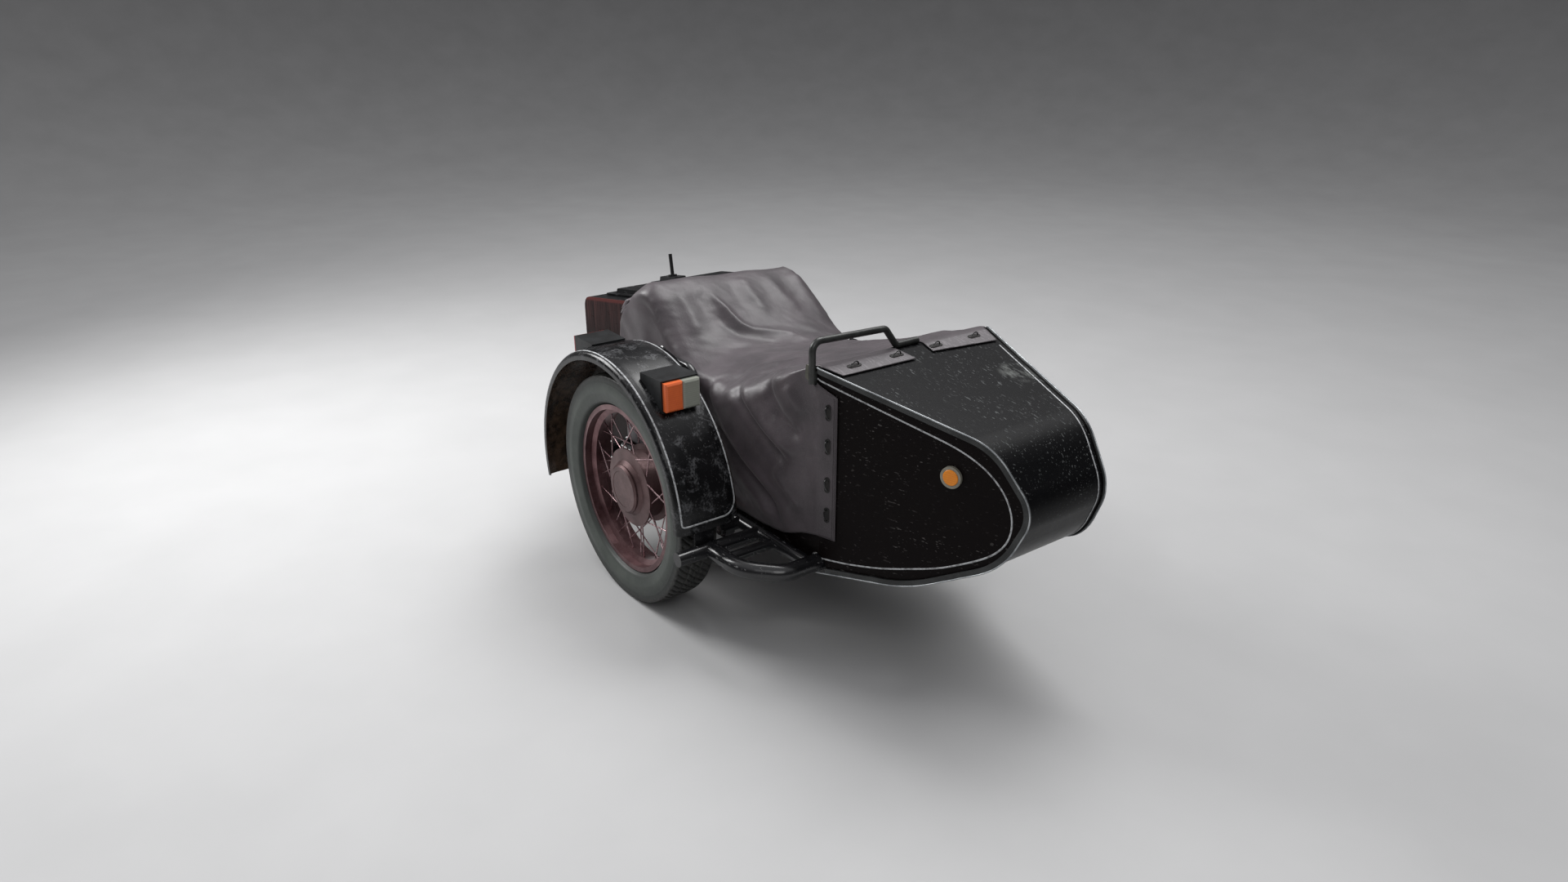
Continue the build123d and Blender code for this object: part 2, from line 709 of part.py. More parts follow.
def edge_bead(sign):
    """Raised moulding along the nose's edge, on the tapered side."""
    ring = side_solid(SIDE_OUTLINE, BEAD_OVER) - side_solid(SIDE_OUTLINE, -BEAD_IN)
    strip = plan_solid(BEAD_PROUD) - BODY_PLAN
    upper = block(BEAD_START_X, FAR, BODY_Y, sign * FAR, VALLEY_Z, FAR)
    lower = block(NOSE_CLOSE_X, FAR, BODY_Y, sign * FAR, -FAR, VALLEY_Z)
    return ring & strip & (upper + lower)


def grab_handle():
    """Bent tube whose outer leg is fixed to the side panel and whose inner end lies on the deck."""
    low = NOSE_TOP_Z - HANDLE_LEG
    top = NOSE_TOP_Z + HANDLE_RISE
    deck = NOSE_TOP_Z + 5
    points = [
        (HANDLE_X, HANDLE_OUTER_Y, low),
        (HANDLE_X, HANDLE_OUTER_Y, top),
        (HANDLE_X, HANDLE_BEND_Y, top - 8),
        (HANDLE_X, HANDLE_FOOT_Y, deck),
        (HANDLE_X, HANDLE_END_Y, deck),
    ]
    bar = bent_tube(points, [26, 18, 14], HANDLE_RADIUS)
    foot = block(HANDLE_X - HANDLE_RADIUS, HANDLE_X + HANDLE_RADIUS, HANDLE_OUTER_Y,
                 BODY_RIGHT_Y, low, low + 32)
    return bar + foot - (BODY_SIDE & BODY_PLAN)


def reflector_plane():
    """Plane on the right tapered side at the reflector, looking outwards."""
    y = BODY_Y - side_half_width(REFLECTOR_X)
    along = Vector(1, TAPER_SLOPE, 0).normalized()
    outward = Vector(along.Y, -along.X, 0)
    return Plane(origin=(REFLECTOR_X, y, REFLECTOR_Z), x_dir=along, z_dir=outward)


def reflector_bezel():
    ring = extrude(Circle(BEZEL_RADIUS) - Circle(REFLECTOR_RADIUS + SEAT_GAP), amount=8)
    base = extrude(Circle(BEZEL_RADIUS), amount=2)
    stud = Pos(0, 0, 1) * extrude(Circle(6), amount=-13)
    return reflector_plane() * (Pos(0, 0, SEAT_GAP) * (ring + base) + stud)


def side_reflector():
    disc = extrude(Circle(REFLECTOR_RADIUS), amount=8)
    disc = fillet(disc.faces().sort_by(Axis.Z)[-1].edges(), 3)
    return reflector_plane() * Pos(0, 0, 2 + 2 * SEAT_GAP) * disc


HINGE_RADIUS = 6
HINGE_PIN_RADIUS = 3
HINGE_LENGTH = 22
HINGE_OFFSETS = (-150, 150)
HINGE_Z = deck_z(LID_HINGE_X) + LID_LIFT + HINGE_RADIUS


def deck_plane(x, lift):
    """Plane on the deck at a station, its x axis running down the slope to the rear."""
    angle = math.atan(DECK_SLOPE)
    return Plane(
        origin=(x, BODY_Y, deck_z(x) + lift),
        x_dir=(-math.cos(angle), 0, -math.sin(angle)),
        z_dir=(-math.sin(angle), 0, math.cos(angle)),
    )


def hinge_barrel(y0, y1, bored):
    barrel = y_disc(LID_HINGE_X, HINGE_Z, HINGE_RADIUS, y0, y1)
    if bored:
        barrel -= y_disc(LID_HINGE_X, HINGE_Z, HINGE_PIN_RADIUS + PIN_GAP, y0 - 1, y1 + 1)
    return barrel


def lid_hinges():
    """The body's halves of the two hinges, each with its pin."""
    solids = []
    for shift in HINGE_OFFSETS:
        y = BODY_Y + shift
        leaf = block(LID_HINGE_X, COVER_REAR_X - 4, y, y + HINGE_LENGTH,
                     HINGE_Z - HINGE_RADIUS - 4, HINGE_Z - 2)
        barrel = hinge_barrel(y, y + HINGE_LENGTH, False)
        pin = y_disc(LID_HINGE_X, HINGE_Z, HINGE_PIN_RADIUS, y - HINGE_LENGTH, y + 1)
        solids.append(leaf + barrel + pin - BODY_SIDE)
    return solids


LID_LENGTH = TRUNK_FRONT_X - TRUNK_REAR_X + 2 * LID_OVERLAP
LID_START = LID_HINGE_X - TRUNK_FRONT_X - LID_OVERLAP + 6


def trunk_lid():
    """Pressed lid with a raised panel, hollow below, and its hinge halves."""
    half = TRUNK_HALF_WIDTH + LID_OVERLAP
    length = LID_LENGTH
    sheet = Pos(LID_START + length / 2, 0) * RectangleRounded(length, 2 * half, 20)
    plate = extrude(sheet, amount=LID_SHEET)
    raised = Pos(LID_START + length / 2, 0) * RectangleRounded(length - 50, 2 * half - 50, 14)
    top = extrude(raised, amount=LID_PANEL_RISE + LID_SHEET, taper=20)
    hollow = extrude(offset(raised, amount=-LID_SHEET), amount=LID_PANEL_RISE, taper=20)
    lid = deck_plane(LID_HINGE_X, LID_LIFT) * (plate + top - hollow)
    for shift in HINGE_OFFSETS:
        y = BODY_Y + shift
        ear = block(LID_HINGE_X - 26, LID_HINGE_X, y - HINGE_LENGTH, y - 0.6,
                    HINGE_Z - 6.5, HINGE_Z - 1)
        ear += hinge_barrel(y - HINGE_LENGTH, y - 0.6, False)
        ear -= y_disc(LID_HINGE_X, HINGE_Z, HINGE_PIN_RADIUS + PIN_GAP, y - 40, y + 4)
        lid += ear
    return lid


CARRIER_LIFT = LID_LIFT + LID_SHEET + LID_PANEL_RISE + SEAT_GAP


def spare_wheel_carrier():
    """Pressed channel across the lid with the stud that a spare wheel goes over."""
    along = LID_HINGE_X - STUD_X
    across = BODY_Y - STUD_Y
    base = Pos(along, across) * RectangleRounded(150, 96, 10)
    crown = Pos(along, across) * RectangleRounded(100, 60, 10)
    form = extrude(base, amount=4) + extrude(crown, amount=20, taper=15)
    form -= extrude(offset(crown, amount=-4), amount=16, taper=15)
    stud = Pos(along, across, 16) * Cylinder(
        STUD_RADIUS, STUD_LENGTH, align=(Align.CENTER, Align.CENTER, Align.MIN)
    )
    washer = Pos(along, across, 20) * Cylinder(
        STUD_RADIUS + 9, 5, align=(Align.CENTER, Align.CENTER, Align.MIN)
    )
    return deck_plane(LID_HINGE_X, CARRIER_LIFT) * (form + stud + washer)


def lid_handle():
    """Turn handle near the lid's rear edge."""
    along = LID_START + LID_LENGTH - 12.5
    lift = LID_LIFT + LID_SHEET + SEAT_GAP
    boss = Pos(along, 0) * extrude(Circle(9), amount=8)
    grip = Pos(along, 0, 8) * extrude(RectangleRounded(14, 60, 6), amount=7)
    return deck_plane(LID_HINGE_X, lift) * (boss + grip)


CUSHION_TOP_Z = 120
BACK_X = BULKHEAD_X + BODY_SHEET + SEAT_GAP
BACK_TOP_Z = 496


def seat_cushion():
    y_gap = 30
    base_z = FLOOR_Z + 9 + SEAT_GAP
    pad = block(BACK_X + 90, 190, BODY_RIGHT_Y + y_gap, BODY_LEFT_Y - y_gap, base_z,
                CUSHION_TOP_Z)
    return fillet(pad.edges().filter_by(Axis.Z), 30)


def backrest():
    y_gap = 26
    rows = [
        (BACK_X, FLOOR_Z + 9 + SEAT_GAP, 0),
        (BACK_X + 88, FLOOR_Z + 9 + SEAT_GAP, 10),
        (BACK_X + 88, CUSHION_TOP_Z + 100, 60),
        (BACK_X + 72, BACK_TOP_Z, 26),
        (BACK_X + 8, BACK_TOP_Z, 20),
        (BACK_X, 430, 10),
    ]
    return slab_y(outline_face(rows), BODY_RIGHT_Y + y_gap, BODY_LEFT_Y - y_gap)


def cover_form(inset):
    """The draped form, lofted through round-shouldered sections and drawn in by an amount."""
    half = BODY_HALF_WIDTH + COVER_THICK + SEAT_GAP - inset
    faces = []
    for x, height, bend in COVER_SECTIONS:
        top = height - 1.2 * inset
        bend = max(bend - inset / 2, 1)
        # behind the ridge the wall is steep, so it is drawn in forwards too
        station = x + inset if x < COVER_REAR_X + 60 else x
        points = [(-half, SKIRT_Z), (-half, top), (half, top), (half, SKIRT_Z)]
        outline = FilletPolyline(*points, radius=[0, bend, bend, 0], close=True)
        faces.append(Plane.YZ.offset(station) * Pos(BODY_Y, 0) * make_face(outline))
    return loft(faces)


def cover_shell():
    """The whole cover: draped over the cockpit, and close on the nose in front of it."""
    draped = cover_form(0) - cover_form(COVER_THICK)
    draped -= side_solid(SIDE_OUTLINE, SEAT_GAP) & BODY_PLAN
    thick = COVER_THICK + SEAT_GAP
    skin = side_solid(SIDE_OUTLINE, thick) & plan_solid(thick)
    skin -= side_solid(SIDE_OUTLINE, SEAT_GAP) & plan_solid(SEAT_GAP)
    skin &= block(DRAPE_END_X, COVER_FRONT_X, -FAR, FAR, COVER_HEM_Z, FAR)
    return draped & block(-FAR, DRAPE_END_X, -FAR, FAR, COVER_HEM_Z, FAR), skin


def side_cut(points):
    """A prism right across the body from points in x and z."""
    return slab_y(make_face(Polyline(*points, close=True)), -FAR, FAR)


def cover_parts():
    """The tonneau cover as a top panel and two side flaps, cut from one draped form."""
    draped, skin = cover_shell()
    # the flaps reach farther back than the top panel, beside the trunk
    reach = FLAP_REAR_X
    tab = side_cut([
        (reach, COVER_HEM_Z),
        (reach, deck_z(reach) - 50),
        (reach + 25, deck_z(reach) - 10),
        (COVER_REAR_X + 2, HUMP_Z - 4),
        (COVER_REAR_X + 2, COVER_HEM_Z),
    ])
    tab &= plan_solid(COVER_THICK + SEAT_GAP) - plan_solid(SEAT_GAP)
    middle = plan_solid(-SHOULDER_SEAM)
    top = (draped & middle) + (skin & middle)
    sides = (draped - middle) + (skin - middle) + tab
    end = COVER_FRONT_X
    # the hem of the flaps rises towards the front
    sides -= side_cut([
        (end - 250, COVER_HEM_Z - 10),
        (end + 10, COVER_HEM_Z - 10),
        (end + 10, COVER_HEM_Z + 60),
        (end - 54, COVER_HEM_Z + 57),
        (end - 117, COVER_HEM_Z + 41),
        (end - 188, COVER_HEM_Z + 14),
    ])
    # in front of the handle the body's edge shows between the top band and the flap bands
    start = HANDLE_X + HANDLE_RADIUS
    edge = side_cut([
        (start, NOSE_TOP_Z - 37),
        (end + 10, NOSE_TOP_Z - 72),
        (end + 10, FAR),
        (start, FAR),
    ])
    edge -= plan_solid(-BEAD_IN)
    # notch round the handle's leg, and the one between the two front bands
    gap = HANDLE_RADIUS + 3
    leg = block(HANDLE_X - gap, HANDLE_X + gap, -FAR, HANDLE_OUTER_Y + gap + 8,
                NOSE_TOP_Z - HANDLE_LEG - 6, FAR)
    notch = [
        (HANDLE_X - 2 * gap, HANDLE_FOOT_Y - 22),
        (HANDLE_X - 2 * gap, HANDLE_END_Y + gap),
        (end + 1, HANDLE_END_Y - 6),
        (end + 1, HANDLE_FOOT_Y - 2),
    ]
    between = slab_z(make_face(Polyline(*notch, close=True)), NOSE_TOP_Z - 60, FAR)
    top = top - edge - leg - between
    sides = sides - edge - leg
    right = sides & block(-FAR, FAR, -FAR, BODY_Y, -FAR, FAR)
    left = sides & block(-FAR, FAR, BODY_Y, FAR, -FAR, FAR)
    return top, right, left


BUTTON_Z = (378, 286, 185, 100)
BUTTON_SHIFTS = (-208, -66, 73, 216)


def cover_buttons():
    """Turn buttons along the front bands of the two flaps and of the top panel."""
    solids = []
    lift = COVER_THICK + 2 * SEAT_GAP
    for sign in (-1, 1):
        for z in BUTTON_Z:
            half = side_half_width(FLAP_BAND_X)
            along = Vector(1, -sign * TAPER_SLOPE, 0).normalized()
            outward = Vector(TAPER_SLOPE, sign, 0).normalized()
            plane = Plane(origin=(FLAP_BAND_X, BODY_Y + sign * half, z), x_dir=along,
                          z_dir=outward)
            solids.append(plane * Pos(0, 0, lift) * button())
    slope = (393 - NOSE_TOP_Z) / (1075 - NOSE_TOP_X)
    z = NOSE_TOP_Z + slope * (TOP_BAND_X - NOSE_TOP_X)
    for shift in BUTTON_SHIFTS:
        plane = Plane(origin=(TOP_BAND_X, BODY_Y + shift, z), x_dir=(0, 1, 0),
                      z_dir=(-slope, 0, 1))
        solids.append(plane * Pos(0, 0, lift) * button())
    return solids


def button():
    base = extrude(SlotOverall(26, 12), amount=2)
    grip = Pos(0, 0, 2) * extrude(Rot(0, 0, 90) * SlotOverall(18, 6), amount=6)
    return Rot(0, 0, 90) * (base + grip)


def body_mounts():
    """Rubber saddles between the cross tubes and the floor."""
    solids = []
    for x in (FRONT_TUBE_X, REAR_TUBE_X):
        for y in (BODY_RIGHT_Y + 60, BODY_LEFT_Y - 60):
            saddle = block(x - 20, x + 20, y - 30, y + 30, FRAME_Z, FLOOR_Z - SEAT_GAP)
            solids.append(saddle - y_disc(x, FRAME_Z, CROSS_TUBE_RADIUS + SEAT_GAP, -FAR, FAR))
    return solids


def lower_coupling(x):
    """Arm on the inner rail with a split collet that grips a ball on the motorcycle's frame."""
    arm = rod((x, INNER_RAIL_Y, FRAME_Z), (x, COUPLING_Y - 30, FRAME_Z), 16)
    cup = y_disc(x, FRAME_Z, COLLET_RADIUS + 7, COUPLING_Y - 34, COUPLING_Y)
    cup -= Pos(x, COUPLING_Y, FRAME_Z) * Sphere(COLLET_RADIUS)
    slot = block(x - 2, x + 2, COUPLING_Y - 22, COUPLING_Y + 1, FRAME_Z - 40, FRAME_Z + 40)
    return arm + cup - slot - inner_rail()


# Upper struts: foot x, fork x, fork z
FRONT_STRUT = (420, 330, 225)
REAR_STRUT = (-200, -120, 250)
FORK_GAP = 16
FORK_EAR = 7


def upper_strut(row):
    """Screw-adjusted strut from the inner rail to a fork for the motorcycle's lug."""
    foot_x, fork_x, fork_z = row
    foot = Vector(foot_x, INNER_RAIL_Y + 10, FRAME_Z + 10)
    fork = Vector(fork_x, COUPLING_Y, fork_z)
    way = (fork - foot).normalized()
    strut = rod(foot, fork - way * 46, STRUT_RADIUS)
    strut += rod(fork - way * 110, fork - way * 80, STRUT_RADIUS + 5)
    plane = Plane(origin=fork, x_dir=(1, 0, 0), z_dir=way)
    width = FORK_GAP + 2 * FORK_EAR
    yoke = Pos(0, 0, -20) * Box(width, 30, 60)
    yoke -= Pos(0, 0, 4) * Box(FORK_GAP, 60, 64)
    yoke = plane * yoke
    axis = plane.x_dir
    bore = rod(fork - axis * 40, fork + axis * 40, CLEVIS_BOLT_RADIUS + 0.25)
    return strut + yoke - bore - inner_rail()


def solids_of(shape):
    """Every solid of a shape or of a list of shapes."""
    if isinstance(shape, (list, tuple)):
        found = []
        for item in shape:
            found.extend(solids_of(item))
        return found
    return list(shape.solids())


def build():
    cover_top, cover_right, cover_left = cover_parts()
    return {
        "front_cross_tube": front_cross_tube(),
        "rear_cross_tube": rear_cross_tube(),
        "outer_rail": outer_rail(),
        "inner_rail": inner_rail(),
        "fender_tube": fender_tube(),
        "guard_brace": guard_brace(),
        "body_mounts": body_mounts(),
        "arm_pivot": arm_pivot(),
        "trailing_arm": trailing_arm(),
        "axle_spindle": axle_spindle(),
        "brake_plate": brake_plate(),
        "shock_absorber": shock_absorber(),
        "suspension_arch": suspension_arch(),
        "fender": fender(),
        "fender_brackets": fender_brackets(),
        "front_lamp_housing": lamp_housing(FRONT_LAMP),
        "front_lamp_amber": lamp_lens(FRONT_LAMP, 0, 0.5),
        "front_lamp_clear": lamp_lens(FRONT_LAMP, 0.5, 1),
        "rear_lamp_housing": lamp_housing(REAR_LAMP),
        "rear_lamp_lens": lamp_lens(REAR_LAMP, 0, 1),
        "side_panel_right": side_panel(-1),
        "side_panel_left": side_panel(1),
        "nose_sheet": nose_sheet(),
        "tail_sheet": tail_sheet(),
        "floor_pan": floor_pan(),
        "seat_bulkhead": seat_bulkhead(),
        "edge_bead_right": edge_bead(-1),
        "edge_bead_left": edge_bead(1),
        "grab_handle": grab_handle(),
        "reflector_bezel": reflector_bezel(),
        "side_reflector": side_reflector(),
        "seat_cushion": seat_cushion(),
        "backrest": backrest(),
        "cover_top": cover_top,
        "cover_flap_right": cover_right,
        "cover_flap_left": cover_left,
        "cover_buttons": cover_buttons(),
        "rear_lower_coupling": lower_coupling(COUPLING_X),
        "front_lower_coupling": lower_coupling(FRONT_COUPLING_X),
        "front_upper_strut": upper_strut(FRONT_STRUT),
        "rear_upper_strut": upper_strut(REAR_STRUT),
        "lid_hinges": lid_hinges(),
        "trunk_lid": trunk_lid(),
        "spare_wheel_carrier": spare_wheel_carrier(),
        "lid_handle": lid_handle(),
        "tyre": tyre(),
        "rim": rim(),
        "spokes": spokes(),
        "hub": hub(),
        "hub_cap": hub_cap(),
    }


os.makedirs("parts", exist_ok=True)
shift = Pos(-ORIGIN[0], -ORIGIN[1], -ORIGIN[2])
for name, shape in build().items():
    moved = [shift * solid for solid in solids_of(shape)]
    piece = moved[0] if len(moved) == 1 else Compound(children=moved)
    export_step(piece, f"parts/{name}.step")
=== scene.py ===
import json
import math

import bmesh
import bpy
import numpy as np
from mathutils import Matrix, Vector, noise


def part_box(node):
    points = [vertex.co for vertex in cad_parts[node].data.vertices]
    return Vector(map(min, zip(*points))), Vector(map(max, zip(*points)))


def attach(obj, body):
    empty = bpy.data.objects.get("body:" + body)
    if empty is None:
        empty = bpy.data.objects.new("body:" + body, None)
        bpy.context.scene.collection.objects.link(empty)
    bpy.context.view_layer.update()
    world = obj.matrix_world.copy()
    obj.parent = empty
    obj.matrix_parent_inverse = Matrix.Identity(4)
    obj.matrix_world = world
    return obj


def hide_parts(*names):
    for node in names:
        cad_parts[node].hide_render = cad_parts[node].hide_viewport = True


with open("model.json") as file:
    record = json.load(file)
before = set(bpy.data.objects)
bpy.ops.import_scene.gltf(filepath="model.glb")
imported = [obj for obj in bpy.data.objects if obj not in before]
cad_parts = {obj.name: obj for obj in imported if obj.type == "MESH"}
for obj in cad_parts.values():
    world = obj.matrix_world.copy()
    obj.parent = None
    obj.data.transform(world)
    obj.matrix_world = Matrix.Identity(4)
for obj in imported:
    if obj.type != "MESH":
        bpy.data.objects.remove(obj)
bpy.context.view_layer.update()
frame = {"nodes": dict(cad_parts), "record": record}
NODES = frame["nodes"]
SCENE = bpy.context.scene

# The wheel's centre on the tyre's outer face, which the sizes below are measured from.
TYRE_LOW, TYRE_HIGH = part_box("tyre")
HUB = Vector(((TYRE_LOW.x + TYRE_HIGH.x) / 2, TYRE_LOW.y, (TYRE_LOW.z + TYRE_HIGH.z) / 2))
TYRE_RADIUS = (TYRE_HIGH.x - TYRE_LOW.x) / 2
FLOOR_Z = TYRE_LOW.z

# The trunk's deck: a point on its front edge, and its slope
DECK_X = -0.288
DECK_TOP = 0.462
DECK_SLOPE = 0.152

# The fender's outer face: its centre in x and z, its radius, and its two edges
FENDER_CENTRE = (-0.035, -0.005)
FENDER_RADIUS = 0.418
FENDER_EDGE_RADIUS = 0.410
FENDER_LOW_Y = -0.024
FENDER_HIGH_Y = 0.172

# Camera at the photograph's viewing angle
CAMERA_AZIMUTH = 53.115
CAMERA_ELEVATION = 22.292
CAMERA_LENS = 24.44
CAMERA_PLACE = HUB + Vector((2.549, -1.305, 1.314))


def new_object(name, data):
    """An object in the scene."""
    thing = bpy.data.objects.new(name, data)
    SCENE.collection.objects.link(thing)
    return thing


def make_camera():
    data = bpy.data.cameras.new("camera")
    data.lens = CAMERA_LENS
    data.sensor_width = 36
    camera = new_object("camera", data)
    azimuth = math.radians(CAMERA_AZIMUTH)
    elevation = math.radians(CAMERA_ELEVATION)
    back = Vector((
        math.sin(azimuth) * math.cos(elevation),
        -math.cos(azimuth) * math.cos(elevation),
        math.sin(elevation),
    ))
    camera.location = CAMERA_PLACE
    camera.rotation_mode = "QUATERNION"
    camera.rotation_quaternion = (-back).to_track_quat("-Z", "Y")
    SCENE.camera = camera


# Material helpers

class Value:
    """A number, vector or colour that shader nodes work out, for use in sums."""

    def __init__(self, socket):
        self.socket = socket
        self.tree = socket.id_data

    def maths(self, operation, other=0.0):
        return add(self.tree, "ShaderNodeMath", 0, {0: self, 1: other}, operation=operation)

    def __add__(self, other):
        return self.maths("ADD", other)

    def __sub__(self, other):
        return self.maths("SUBTRACT", other)

    def __mul__(self, other):
        return self.maths("MULTIPLY", other)

    def __pow__(self, other):
        return self.maths("POWER", other)


def connect(node, inputs):
    """Sets a node's inputs, each to a plain value or to what other nodes work out."""
    for key, value in inputs.items():
        if isinstance(value, Value):
            node.id_data.links.new(value.socket, node.inputs[key])
        else:
            node.inputs[key].default_value = value


def add(tree, kind, output, inputs, **settings):
    """What a new shader node gives at one of its outputs."""
    node = tree.nodes.new(kind)
    for key, value in settings.items():
        setattr(node, key, value)
    connect(node, inputs)
    return Value(node.outputs[output])


def new_material(name):
    """A material with its node tree and its shader."""
    material = bpy.data.materials.new(name)
    material.use_nodes = True
    tree = material.node_tree
    return material, tree, tree.nodes["Principled BSDF"]


def ramp(value, low, high):
    """0 at low and 1 at high, smooth between and level outside."""
    return add(value.tree, "ShaderNodeMapRange", "Result",
               {"Value": value, "From Min": low, "From Max": high}, interpolation_type="SMOOTHSTEP")


def place(tree, scale=(1, 1, 1), turn=(0, 0, 0)):
    """Object coordinates, turned and stretched."""
    coords = add(tree, "ShaderNodeTexCoord", "Object", {})
    return add(tree, "ShaderNodeMapping", "Vector", {"Vector": coords, "Rotation": turn, "Scale": scale},
               vector_type="POINT")


def clouds(vector, scale, detail=4, rough=0.55, distortion=0.0):
    return add(vector.tree, "ShaderNodeTexNoise", "Fac", {
        "Vector": vector, "Scale": scale, "Detail": detail, "Roughness": rough,
        "Distortion": distortion,
    })


def flecks(tree, length, width, turn, level, seed):
    """Short scratches of one direction: 1 on a scratch, 0 elsewhere."""
    vector = place(tree, (1 / length, 1 / width, 1 / width), turn)
    moved = add(tree, "ShaderNodeVectorMath", 0, {0: vector, 1: (seed, 2 * seed, seed)}, operation="ADD")
    return ramp(clouds(moved, 1.0, 2, 0.4), level, level + 0.05)


def highest(values):
    result = values[0]
    for value in values[1:]:
        result = result.maths("MAXIMUM", value)
    return result


def split(vector):
    """A vector's three numbers."""
    node = vector.tree.nodes.new("ShaderNodeSeparateXYZ")
    connect(node, {"Vector": vector})
    return [Value(socket) for socket in node.outputs]


def position(tree):
    """Object coordinates measured from the wheel's centre, as three numbers."""
    coords = add(tree, "ShaderNodeTexCoord", "Object", {})
    return split(add(tree, "ShaderNodeVectorMath", 0, {0: coords, 1: tuple(HUB)}, operation="SUBTRACT"))


def blend_color(factor, a, b):
    """Colour a where the factor is 0, b where it is 1. A colour is three numbers or a Value."""
    a, b = (c if isinstance(c, Value) else (*c, 1.0) for c in (a, b))
    return add(factor.tree, "ShaderNodeMix", 2, {0: factor, 6: a, 7: b}, data_type="RGBA")


def paint_over(material, factor, colour):
    """Lays a colour over the one that a material already has."""
    shader = material.node_tree.nodes["Principled BSDF"]
    before = Value(shader.inputs["Base Color"].links[0].from_socket)
    connect(shader, {"Base Color": blend_color(factor, before, colour)})


def set_bump(shader, height, strength, distance):
    normal = add(height.tree, "ShaderNodeBump", "Normal",
                 {"Height": height, "Strength": strength, "Distance": distance})
    connect(shader, {"Normal": normal})


# Scratches in paint: length, width, turn, how much rarer than the first kind, seed
SCRATCHES = [
    (0.030, 0.0062, (0.0, 0.0, -0.93), 0.0, 3.0),
    (0.014, 0.0046, (0.2, 0.1, -1.20), 0.03, 17.0),
    (0.024, 0.0044, (0.9, 0.3, 0.70), 0.04, 31.0),
    (0.040, 0.0050, (0.1, 1.2, 0.20), 0.05, 47.0),
]


def worn_paint(name, base, worn, patch, level, patch_level, gloss, shine, patch_scale=14.0):
    """Old gloss paint with scattered short scratches and dull rubbed patches."""
    material, tree, shader = new_material(name)
    coords = place(tree)
    marks = highest([
        flecks(tree, length, width, turn, level + rarer, seed)
        for length, width, turn, rarer, seed in SCRATCHES
    ])
    marks = marks * (ramp(clouds(coords, 9, 4, 0.6), 0.40, 0.62) * 0.75 + 0.15)
    rubbed = ramp(clouds(coords, patch_scale, 9, 0.7, 0.5), patch_level, patch_level + 0.14)
    rubbed = rubbed * ramp(clouds(coords, 150, 3), 0.3, 0.7)
    connect(shader, {
        "Base Color": blend_color(marks, blend_color(rubbed, base, patch), worn),
        "Roughness": clouds(coords, 60, 5) * 0.14 + (gloss - 0.06) + rubbed * 0.25 + marks * 0.3,
        "Specular IOR Level": shine,
    })
    set_bump(shader, clouds(coords, 5, 2) - marks * 0.05, 0.12, 0.004)
    return material


# The rubbed patch on the nose sheet: its centre in plan, and where it is full and where it ends
PATCH_X = 0.835
PATCH_Y = 0.730
PATCH_FULL = 0.0173
PATCH_END = 0.0583


def body_paint():
    """The nose sheet's paint, with one rubbed patch towards the far edge of its top."""
    material = worn_paint("body_paint", (0.0030, 0.0030, 0.0035), (0.090, 0.095, 0.095),
                          (0.036, 0.037, 0.037), 0.655, 0.60, 0.30, 0.105)
    tree = material.node_tree
    x, y, z = position(tree)
    away = (x - PATCH_X) ** 2 + (y - PATCH_Y) ** 2
    inside = ramp(away, PATCH_END ** 2, PATCH_FULL ** 2) * ramp(z, 0.40, 0.42)
    cloud = clouds(place(tree, (18, 44, 44), (0.0, 0.0, -0.93)), 1.0, 8, 0.7)
    paint_over(material, inside * ramp(cloud, 0.42, 0.62), (0.11, 0.115, 0.11))
    return material


def side_paint():
    """The side panels' paint: brownish black, and at the trunk dark red with painted highlights: pale
    upright streaks below the deck's edge and a lighter band along it.
    """
    material = worn_paint("side_paint", (0.0040, 0.0026, 0.0026), (0.080, 0.074, 0.072),
                          (0.010, 0.008, 0.008), 0.672, 0.60, 0.42, 0.07)
    tree = material.node_tree
    x, y, z = position(tree)
    below = x * DECK_SLOPE + (DECK_TOP - DECK_SLOPE * DECK_X) - z
    # painted highlight: pale red upright streaks under the deck's edge
    upright_streaks = clouds(place(tree, (260, 260, 7)), 1.0, 2)
    streak_highlight = ramp(below, 0.16, 0.03) * ramp(upright_streaks, 0.35, 0.7)
    red = blend_color(streak_highlight, (0.008, 0.0022, 0.0022), (0.050, 0.020, 0.019))
    # painted highlight: a lighter red band along the trunk side's top edge
    red = blend_color(ramp(below, 0.014, 0.006), red, (0.085, 0.020, 0.018))
    paint_over(material, ramp(x, -0.285, -0.30), red)
    return material


def fender_paint():
    """Black with cloudy grey wear outside, dull brown inside, and a painted brown reflection low on the
    inboard skirt's outer face.
    """
    material = worn_paint("fender_paint", (0.0035, 0.0035, 0.004), (0.070, 0.070, 0.070),
                          (0.075, 0.076, 0.080), 0.68, 0.49, 0.22, 0.34, 22.0)
    tree = material.node_tree
    x, y, z = position(tree)
    radial = add(tree, "ShaderNodeCombineXYZ", 0, {"X": x - FENDER_CENTRE[0], "Z": z - FENDER_CENTRE[1]})
    normal = add(tree, "ShaderNodeNewGeometry", "True Normal", {})
    facing = add(tree, "ShaderNodeVectorMath", "Value", {0: normal, 1: radial}, operation="DOT_PRODUCT")
    middle = y - (FENDER_LOW_Y + FENDER_HIGH_Y) / 2
    # brown on the fender's inside faces, and a painted brown reflection low on the inboard skirt's outer
    # face (the third mask)
    inside_and_reflected_brown = highest([
        ramp(facing, 0.0, -0.05),
        ramp(split(normal)[1] * middle, 0.0, -0.02),
        ramp(y, FENDER_HIGH_Y - 0.010, FENDER_HIGH_Y - 0.003) * ramp(z, 0.30, 0.12),
    ])
    brown_mottle = ramp(clouds(place(tree), 34, 6, 0.65), 0.3, 0.7)
    paint_over(material, inside_and_reflected_brown, blend_color(brown_mottle, (0.012, 0.009, 0.007), (0.075, 0.048, 0.032)))
    return material


